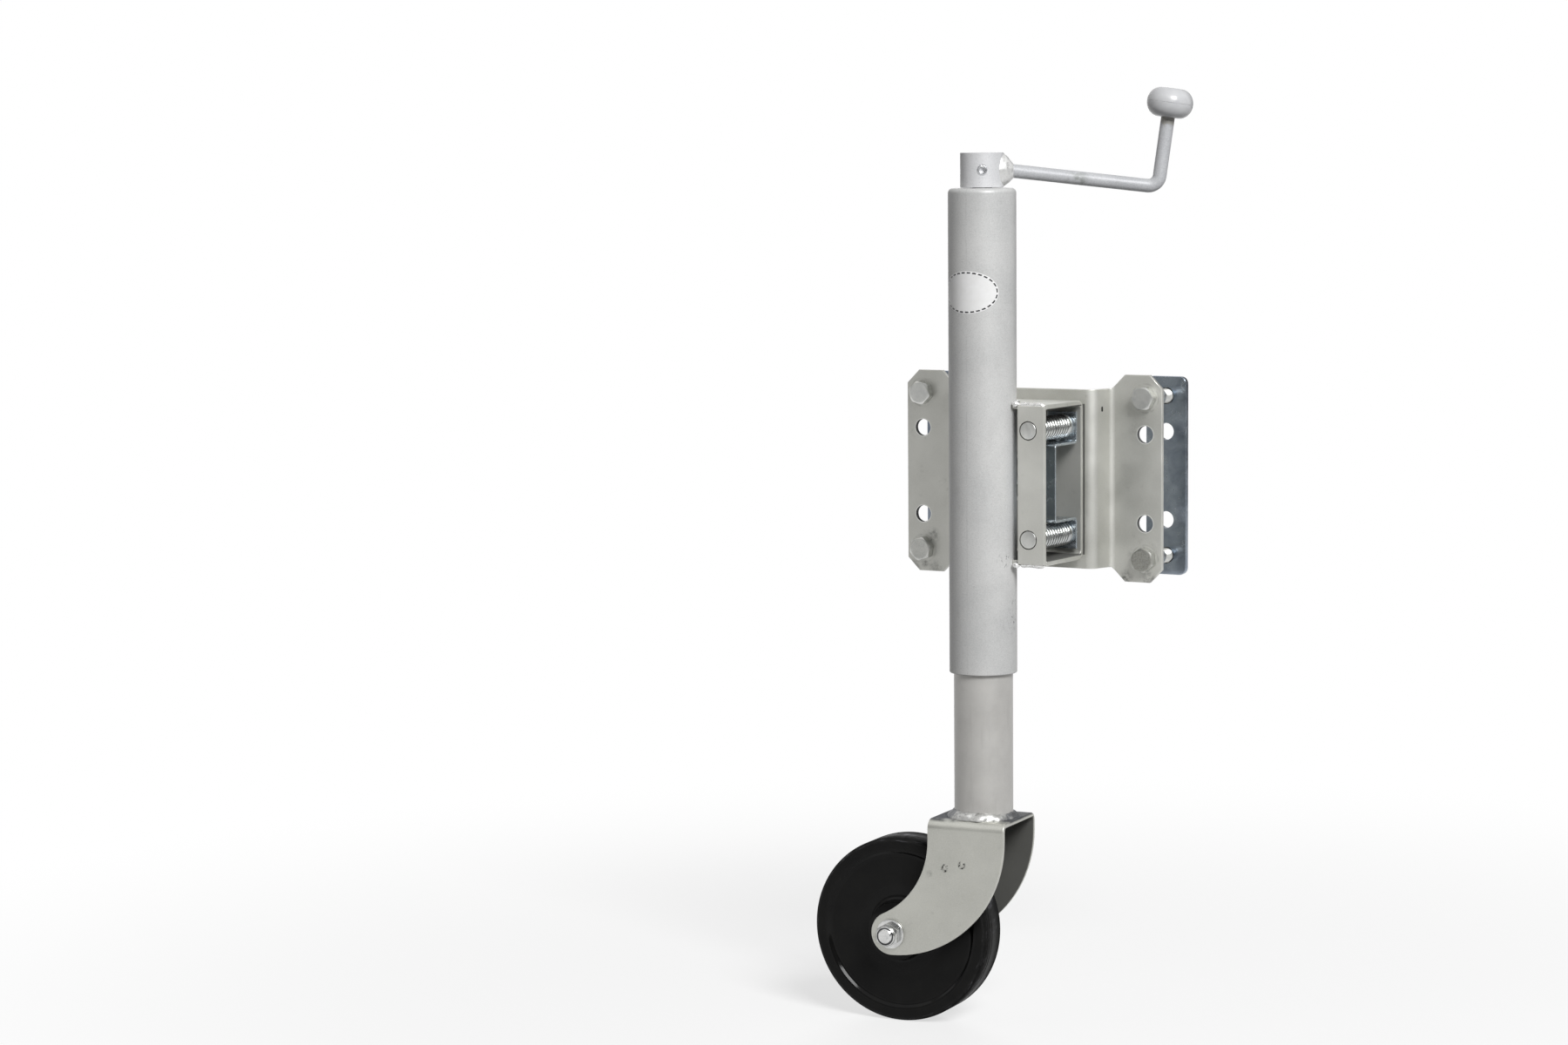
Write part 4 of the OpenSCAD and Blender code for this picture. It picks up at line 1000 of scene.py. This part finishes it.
# Weld of the crank arm. A thick fillet run round the bar where it meets the hub, lumpy, with a few pits,
# and painted over with the crank.
painted = Finish("painted_weld", 0.35, 0.36)
weld_pit = painted.grain(1.6 * mm, 3, 0.6)
weld_cloud = painted.grain(5 * mm, 3)
weld_colour = painted.mixed(painted.spread(weld_cloud, 0.3, 0.7), (0.56, 0.56, 0.55), (0.74, 0.74, 0.73))
weld_colour = painted.mixed(painted.spread(weld_pit, 0.60, 0.74, 0, 0.7), weld_colour, (0.16, 0.16, 0.15))
painted.relief(weld_pit, 0.16 * mm, 0.6)
painted_weld = painted.done(weld_colour, painted.spread(weld_cloud, 0.3, 0.7, 0.28, 0.42))
weld_rows = 14
weld_sides = 48
weld_half_wide = 10.4 * mm
weld_half_tall = 13 * mm
weld_neck = 5.2 * mm
weld_end = 25.6 * mm
in_hub = 17.4 * mm
boxy = 2.6
lump_shift = Vector((31.7, 5.1, 12.4))
weld_points = []
for row in range(weld_rows + 1):
    t = row / weld_rows
    for i in range(weld_sides):
        a = 2 * math.pi * i / weld_sides
        sideways = abs(math.sin(a) / weld_half_wide) ** boxy
        upright = abs(math.cos(a) / weld_half_tall) ** boxy
        wide = (sideways + upright) ** (-1 / boxy)
        wide *= 1 + 0.035 * math.sin(3 * a + 0.6) + 0.02 * math.sin(7 * a)
        radius = wide + (weld_neck - wide) * t ** 1.15
        lump = noise.noise(Vector((math.cos(a), math.sin(a), 1.4 * t)) * 2.6 + lump_shift)
        wobble = 0.55 * mm * math.sin(math.pi * min(1, 1.2 * t)) * lump
        radius += wobble
        y = radius * math.sin(a)
        z = radius * math.cos(a)
        on_hub = math.sqrt(in_hub ** 2 - min(abs(y), 17 * mm) ** 2)
        x = on_hub + (weld_end - on_hub) * t ** 0.9 + 0.5 * wobble
        drop = max(0, x - 17 * mm) * math.tan(arm_slope)
        weld_points.append(crank_frame @ Vector((x, y, hub_middle + z - drop)))
hub_weld = skinned(weld_points, weld_sides, 70)
fitted("crank_arm_weld", hub_weld, "crank", "silver_paint", painted_weld)

# Knob. A flattened ball moulded in light grey plastic in two halves, with its parting line at the middle
# and a flat on top. It turns on the bar.
knob_half_height = 11.75 * mm
knob_bore = 5.58 * mm
knob_bore_end = 7.83 * mm
parting_dip = 0.16 * mm
plastic = Finish("grey_knob_plastic", 0.0, 0.3)
haze = plastic.grain(9 * mm, 4)
knob_colour = plastic.mixed(plastic.spread(haze, 0.3, 0.7), (0.55, 0.555, 0.57), (0.62, 0.625, 0.635))
grime = plastic.fade(plastic.off_plane(knob_centre, riser_line), 0.05 * mm, 0.4 * mm, 0.45)
grime = plastic.times(grime, plastic.spread(plastic.grain(5 * mm, 3), 0.40, 0.6))
knob_colour = plastic.mixed(grime, knob_colour, (0.20, 0.20, 0.20))
plastic.relief(plastic.grain(1.4 * mm, 2), 0.02 * mm, 0.5)
knob_finish = plastic.done(knob_colour, plastic.spread(haze, 0.3, 0.7, 0.17, 0.27))
knob_rows = [(knob_bore, -knob_half_height)]
for degrees in range(-90, 91, 6):
    a = math.radians(degrees)
    r = (8 + 10.5 * math.cos(a)) * mm
    if degrees == 0:
        knob_rows += [(r, -0.22 * mm), (r - parting_dip, 0), (r, 0.22 * mm)]
    else:
        knob_rows.append((r, knob_half_height * math.sin(a)))
knob_rows += [(0, knob_half_height), (0, knob_bore_end), (knob_bore, knob_bore_end)]
knob_mesh = turned(knob_rows, 96, True)
knob_stand = Matrix.Translation(corner + riser_way * knob_reach) @ Matrix.Rotation(riser_lean, 4, "Y")
knob_mesh.transform(crank_frame @ knob_stand)
fitted("moulded_knob", knob_mesh, "knob", "grey_plastic", knob_finish, "knob")


# Screw, bearing and nut inside the tubes. Turned steel, a bronze nut and a ball race, all oiled;
# nothing of them shows while the jack is whole, so the solids stay and only get their finish.
def dressed(finish, *nodes):
    """Gives CAD nodes that stay in the scene their finish."""
    for node in nodes:
        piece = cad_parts[node]
        if not piece.material_slots:
            piece.data.materials.append(finish)
        for place in piece.material_slots:
            place.material = finish


oiled_steel = bright_zinc("oiled_steel", (0.30, 0.30, 0.31), (0.20, 0.20, 0.21), 0.28, (1, 1, 12))
bronze = bright_zinc("oiled_bronze", (0.55, 0.40, 0.19), (0.42, 0.30, 0.14), 0.30)
hidden_zinc = bright_zinc("inner_zinc", (0.62, 0.64, 0.65), (0.48, 0.50, 0.52), 0.25)
dressed(oiled_steel, "lead_screw", "thrust_collar", "upper_race", "lower_race", "bearing_plate", "nut_seat")
dressed(bronze, "lift_nut", "ball_cage")
dressed(hidden_zinc, "bearing_balls", "collar_pin", "nut_clip", "axle_sleeve")

# Inner tube. Welded steel tube of 48 by 3 mm that slides in the outer one, plated to a satin silver,
# with rub marks from sliding.
fork_top = -272.5 * mm
inner_radius = 24 * mm
inner = Finish("satin_inner_tube", 0.3, 0.40)
cloud = inner.grain(30 * mm, 4)
speck = inner.grain(0.8 * mm, 3, 0.65)
inner_colour = inner.mixed(inner.spread(cloud, 0.3, 0.7), (0.45, 0.44, 0.42), (0.57, 0.56, 0.535))
inner_colour = inner.mixed(inner.spread(speck, 0.35, 0.75, 0, 0.35), inner_colour, (0.62, 0.61, 0.60))
rubbed = inner.spread(inner.grain(7 * mm, 4, stretch=(1, 1, 0.12)), 0.55, 0.80, 0, 0.22, True)
inner_colour = inner.mixed(rubbed, inner_colour, (0.33, 0.325, 0.31))
inner.relief(speck, 0.035 * mm, 0.6)
inner_finish = inner.done(inner_colour, inner.spread(cloud, 0.3, 0.7, 0.32, 0.44))
inner_rows = [(21 * mm, fork_top), (inner_radius, fork_top)]
inner_rows += [(inner_radius, z * mm) for z in range(-260, 91, 25)]
inner_rows += outline((24, 91), (23.5, 91.5), (21.5, 91.5), (21, 91))
inner_tube = turned(inner_rows, 128, True)
inner_tube.transform(Matrix.Translation(tube_axis))
fitted("plated_inner_tube", inner_tube, "caster", "dull_silver", inner_finish, "inner_tube")

# Fork. A strip of 4 mm steel bent over the wheel, with swept legs drilled for the axle, welded to the
# inner tube all round and plated with it. Two small punch marks show on its front leg.
caster_frame = Matrix.Translation(tube_axis) @ Matrix.Rotation(math.radians(5.5), 4, "Z")
fork_across = caster_frame.to_3x3() @ Vector((0, 1, 0))
between_fork_legs = (tube_axis, fork_across, 31.3 * mm)
under_fork_top = (at(0, 0, -376), (0, 0, 1), 99.8 * mm)
fork_burns = [
    (-31, -14, 27, 1.0), (-30, 12, 24, 0.9), (29, -6, 24, 0.95), (28, 16, 22, 0.9), (0, 31, 24, 0.7),
]
fork_finish = satin_plate(
    "satin_fork", (0.56, 0.56, 0.515), (0.47, 0.47, 0.43), 0.85,
    dents=[
        (caster_frame @ at(-20.2, -35, -311.8), 4.0 * mm),
        (caster_frame @ at(-5.2, -35, -308.3), 3.6 * mm),
    ],
    smudges=[(caster_frame @ at(-34, -35, -317), 4 * mm, 0.5)],
    burns=[(caster_frame @ at(x, y, -272.5), size * mm, share) for x, y, size, share in fork_burns],
    # Painted shade: the inner faces of the legs under the fork's top are coloured dark.
    shade_hollows=[((between_fork_legs, under_fork_top), 0.85)],
)
fitted("bent_wheel_fork", edged("fork", 0.7 * mm, 3), "caster", "dull_silver", fork_finish, "fork")

# Weld of the fork. A fillet run round the inner tube on the fork's top, thicker in front, left as plated.
# Its sides and back are painted dark as shade; only the part facing the front stays light.
weld_foot = (23.9 * mm, -272.6 * mm)
fillet_out = 4.6 * mm
fillet_up = 4.8 * mm


def fillet_row(lean):
    """One line round the fork's weld: lean goes from the tube at 0 to the fork at 90 degrees."""
    def reach(angle):
        spot = Vector((math.cos(angle), math.sin(angle), 0.0))
        front = max(0.0, -math.sin(angle + 0.25))
        lump = noise.noise(3.4 * spot + Vector((7.3, 0.4, 0.012 * lean)))
        lump += 0.35 * noise.noise(8 * spot + Vector((1, 8, 0.03 * lean)))
        size = 0.9 + 0.45 * front + 0.30 * lump
        out = fillet_out * size * math.sin(math.radians(lean)) ** 1.3
        up = fillet_up * size * math.cos(math.radians(lean)) ** 1.3
        return weld_foot[0] + out, weld_foot[1] + up

    return reach


fork_fillet = turned([fillet_row(lean) for lean in range(0, 91, 9)] + [weld_foot], 180, True)
fork_fillet.transform(Matrix.Translation(tube_axis))
weld = Finish("fork_weld", 0.8, 0.30)
weld_pit = weld.grain(2.2 * mm, 3, 0.55)
weld_cloud = weld.grain(6 * mm, 3)
weld_colour = weld.mixed(weld.spread(weld_pit, 0.28, 0.50), (0.27, 0.27, 0.27), (0.52, 0.52, 0.505))
# Painted shade: the weld is coloured dark except where it faces the front.
toward_front = weld.worked("ADD", weld.along(tube_axis, Vector((0.42, -0.91, 0))),
                           weld.spread(weld_cloud, 0.3, 0.7, -5 * mm, 5 * mm))
weld_colour = weld.mixed(weld.fade(toward_front, 12 * mm, 21 * mm, 0.85), weld_colour, (0.14, 0.145, 0.155))
weld.relief(weld_pit, 0.12 * mm, 0.5)
fork_weld = weld.done(weld_colour, weld.spread(weld_cloud, 0.3, 0.7, 0.38, 0.52))
fitted("fork_weld_ring", smoothed(fork_fillet, 60), "caster", "dull_silver", fork_weld)

# Axle. A 12 mm bolt through the fork with washers, a lock nut with a nylon ring in front, and two thick
# washers that keep the wheel's hub off the legs.
axle_turn = Matrix.Rotation(math.radians(90), 4, "X")
axle_frame = caster_frame @ Matrix.Translation(at(-68, 0, -369.5)) @ axle_turn
hex_high = 7.17 * mm
nut_high = 9.96 * mm


def on_axle(mesh, *places):
    """Copies of a mesh at places along the axle, in millimetres, as one mesh."""
    return gathered(*((mesh, axle_frame @ Matrix.Translation((0, 0, z * mm))) for z in places))


nut_zinc = bright_zinc("nut_zinc", (0.74, 0.74, 0.73), (0.52, 0.525, 0.52), 0.20)
nylon = Finish("nut_nylon", 0.0, 0.45)
nylon_cloud = nylon.grain(3 * mm, 3)
nylon_colour = nylon.mixed(nylon_cloud, (0.055, 0.056, 0.06), (0.085, 0.086, 0.09))
nylon_finish = nylon.done(nylon_colour, nylon.spread(nylon_cloud, 0.3, 0.7, 0.38, 0.52))
lock_rows = hex_rows(18 * mm, 0, hex_high, 0.55, True)
lock_rows += [
    (8.3 * mm, hex_high + 0.1 * mm), (8.2 * mm, nut_high - 1.0 * mm), (7.7 * mm, nut_high - 0.2 * mm),
    (7.35 * mm, nut_high), (7.2 * mm, nut_high - 0.2 * mm), (7.2 * mm, hex_high), (nut_bore, hex_high),
    (nut_bore, 0.8 * mm), (6.95 * mm, 0),
]
long_bolt = hex_bolt(12 * mm, 86.26 * mm, 62 * mm, 1.75 * mm, 0.3)
lock_nut = turned(lock_rows, hex_sides, True)
nylon_ring = ring(7.2 * mm, nut_bore, 0, 2.55 * mm, 0.25 * mm, 48)
thick_washer = ring(16 * mm, 9.1 * mm, 0, 3.5 * mm)
axle_set = (
    ("axle_hexagon_bolt", on_axle(long_bolt, -37.4), "bright_zinc", nut_zinc, "axle_bolt"),
    ("axle_flat_washers", on_axle(flat_washer, -37.4, 35), "bright_zinc", nut_zinc, "axle_washers"),
    ("axle_lock_nut", on_axle(lock_nut, 37.4), "bright_zinc", nut_zinc, "axle_nut"),
    ("axle_nut_nylon", on_axle(nylon_ring, 44.57), "white_nylon", nylon_finish, "axle_nut_ring"),
    ("hub_side_washers", on_axle(thick_washer, -31, 27.5), "bright_zinc", bolt_zinc, "side_washers"),
)
for name, mesh, slot, finish, node in axle_set:
    fitted(name, mesh, "caster", slot, finish, node)

# Wheel and bush. A solid wheel moulded in black plastic: a flat disc with a raised rim, a long hub and
# three fine grooves round its tread. A nylon bush turns on the axle's sleeve.
black = Finish("black_wheel_plastic", 0.0, 0.42)
black.skin.inputs["Specular IOR Level"].default_value = 0.13
axle_centre = axle_frame @ Vector((0, 0, 0))
wheel_along = axle_frame.to_3x3() @ Vector((1, 0, 0))
from_axle = black.away(axle_centre)
mottle = black.grain(16 * mm, 4)
fine = black.grain(0.9 * mm, 3)
black_dark = (0.0045, 0.0045, 0.0045)
black_light = (0.0085, 0.0084, 0.008)
black_colour = black.mixed(black.spread(mottle, 0.3, 0.7), black_dark, black_light)
dust = black.spread(black.grain(0.8 * mm, 2), 0.70, 0.76, 0, 0.25)
black_colour = black.mixed(dust, black_colour, (0.10, 0.095, 0.08))
worn_tread = black.spread(from_axle, 74.5 * mm, 76.5 * mm, 0, 0.15, True)
worn_tread = black.times(worn_tread, black.spread(black.grain(5 * mm, 4), 0.4, 0.65))
black_colour = black.mixed(worn_tread, black_colour, (0.055, 0.055, 0.055))
# Painted highlight: light streaks round the tread's outer edge, drawn as scuffs, stand for glints.
turn = black.worked("ARCTAN2", black.along(axle_centre, (0, 0, 1)), black.along(axle_centre, wheel_along))
polar = black.node("CombineXYZ", black.times(turn, 0.006), from_axle)
straight_place = black.place
black.place = polar.outputs[0]
glint_lines = black.spread(black.grain(1.3 * mm, 3, 0.6), 0.56, 0.66, 0, 0.4)
black.place = straight_place
scuff_glint = black.times(black.fade(black.gap(from_axle, 76.3 * mm), 0.2 * mm, 1.8 * mm), glint_lines)
black_colour = black.mixed(scuff_glint, black_colour, (0.20, 0.20, 0.22))
dry = black.worked("ADD", black.spread(from_axle, 33 * mm, 46 * mm, 0.2, 1, True),
                   black.spread(from_axle, 76.2 * mm, 77.2 * mm, 0, 0.9))
from_step = black.gap(from_axle, 66.2 * mm)
dry = black.times(dry, black.spread(from_step, 2.0 * mm, 4.0 * mm, 0.22, 1, True))
black.relief(black.times(fine, dry), 0.02 * mm, 0.5)
black_finish = black.done(black_colour, black.times(dry, black.spread(mottle, 0.3, 0.7, 0.46, 0.56)))


def arc(r, z, radius, start, end):
    """Corners every 9 degrees along an arc of the wheel's section, in millimetres."""
    turns = [math.radians(a) for a in range(start, end, 9)]
    return [(r + radius * math.cos(a), z + radius * math.sin(a)) for a in turns]


near_side = [(11.68, 26.6), (12.1, 27), (23.0, 27), (23.7, 26.7), (24.0, 26.0)]
near_side += arc(29.2, 20.5, 5, 180, 271)
near_side += [(62.2, 15.5), (62.9, 15.62), (63.4, 15.95), (64.9, 17.5), (65.4, 17.86), (66.1, 18)]
near_side += [(72.2, 18)]
near_side += arc(72.2, 14, 4, 0, 82)[::-1]
tread = []
for z in (11.75, 7.25, 2.75):
    tread += [(76.2, z + 0.75), (76.0, z + 0.45), (75.5, z + 0.3)]
    tread += [(75.5, z - 0.3), (76.0, z - 0.45), (76.2, z - 0.75)]
far_side = [(r, -z) for r, z in near_side[::-1]]
wheel_mesh = turned(outline(*near_side, *tread, *far_side), 160, True)
wheel_mesh.transform(axle_frame)
fitted("moulded_black_wheel", wheel_mesh, "wheel", "black_plastic", black_finish, "wheel")
bush = on_axle(ring(11.63 * mm, 9.13 * mm, -27 * mm, 27 * mm, 0.4 * mm), 0)
fitted("nylon_wheel_bush", bush, "wheel", "white_nylon", nylon_finish, "wheel_bush")

# Pull handle. A strip of 2 mm steel bent to a hat and bright plated; its feet are fixed to the lock pins,
# and fingers hook behind its grip.
handle_zinc = bright_zinc("handle_zinc", (0.55, 0.60, 0.64), (0.40, 0.45, 0.50), 0.22, (0.04, 1, 1))
handle = edged("pull_handle", 0.4 * mm)
fitted("bent_pull_handle", handle, "lock", "bright_zinc", handle_zinc, "pull_handle")

# Lock pins and spring washers. Turned pins of 14 mm that stand flush in the front plate; each carries a
# washer that its spring pushes on.
pin_rows = eased(outline((0, 0), (7, 0), (7, 70.7), (6, 71.7), (0, 71.7)), 0.45 * mm)
for name, height in (("upper", lock_z), ("lower", -lock_z)):
    pin = turned(pin_rows, 64)
    pin.transform(into_tongue(lock_x, -98 * mm, height))
    fitted(f"{name}_turned_lock_pin", pin, "lock", "bright_zinc", bolt_zinc, f"{name}_lock_pin")
spring_washer = ring(9.98 * mm, 7.05 * mm, 0, 1.5 * mm, sides=48)
on_pins = [Matrix.Translation((lock_x, -37.3 * mm, z)) @ from_tongue for z in (-lock_z, lock_z)]
spring_washers = gathered(*((spring_washer, place) for place in on_pins))
fitted("lock_spring_washers", spring_washers, "lock", "bright_zinc", bolt_zinc, "spring_washers")

# Lock springs. Wound from 2 mm wire, thirteen curls, bright plated. The front end stands on the front
# plate. On the jack the back end goes with the handle, so the curls close up as it is pulled; here each
# spring is built once, at rest, and stays where it is.
spring_zinc = bright_zinc("spring_zinc", (0.66, 0.67, 0.66), (0.50, 0.51, 0.51), 0.22)
wire = 1.0 * mm
coil = 8.98 * mm
curls = 13
closed_curls = 0.9
closed_pitch = 2.15 * wire
spring_front = -94 * mm
spring_back = -38.9 * mm
rings_per_curl = 26
wire_sides = 10


def spring_mesh(height):
    """The wire as one tube: flat closed ends, then open curls."""
    low = spring_front + wire
    high = spring_back - wire
    open_pitch = (high - low - 2 * closed_curls * closed_pitch) / (curls - 2 * closed_curls)

    def depth(turn):
        if turn < closed_curls:
            return low + closed_pitch * turn
        if turn > curls - closed_curls:
            return high - closed_pitch * (curls - turn)
        return low + closed_pitch * closed_curls + open_pitch * (turn - closed_curls)

    points = []
    for i in range(curls * rings_per_curl + 1):
        turn = i / rings_per_curl
        a = 2 * math.pi * turn
        out = Vector((math.cos(a), 0, math.sin(a)))
        middle = Vector((lock_x, depth(turn), height)) + coil * out
        for m in range(wire_sides):
            b = 2 * math.pi * m / wire_sides
            points.append(middle + wire * (math.cos(b) * out + math.sin(b) * Vector((0, 1, 0))))
    return skinned(points, wire_sides, 60)


for name, height in (("upper", lock_z), ("lower", -lock_z)):
    mesh = spring_mesh(height)
    mesh.materials.append(spring_zinc)
    spring = bpy.data.objects.new(f"{name}_wound_spring", mesh)
    scene.collection.objects.link(spring)
    back = (lock_x, spring_back, height)
    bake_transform(spring)
    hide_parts(f"{name}_lock_spring")

bpy.context.view_layer.update()
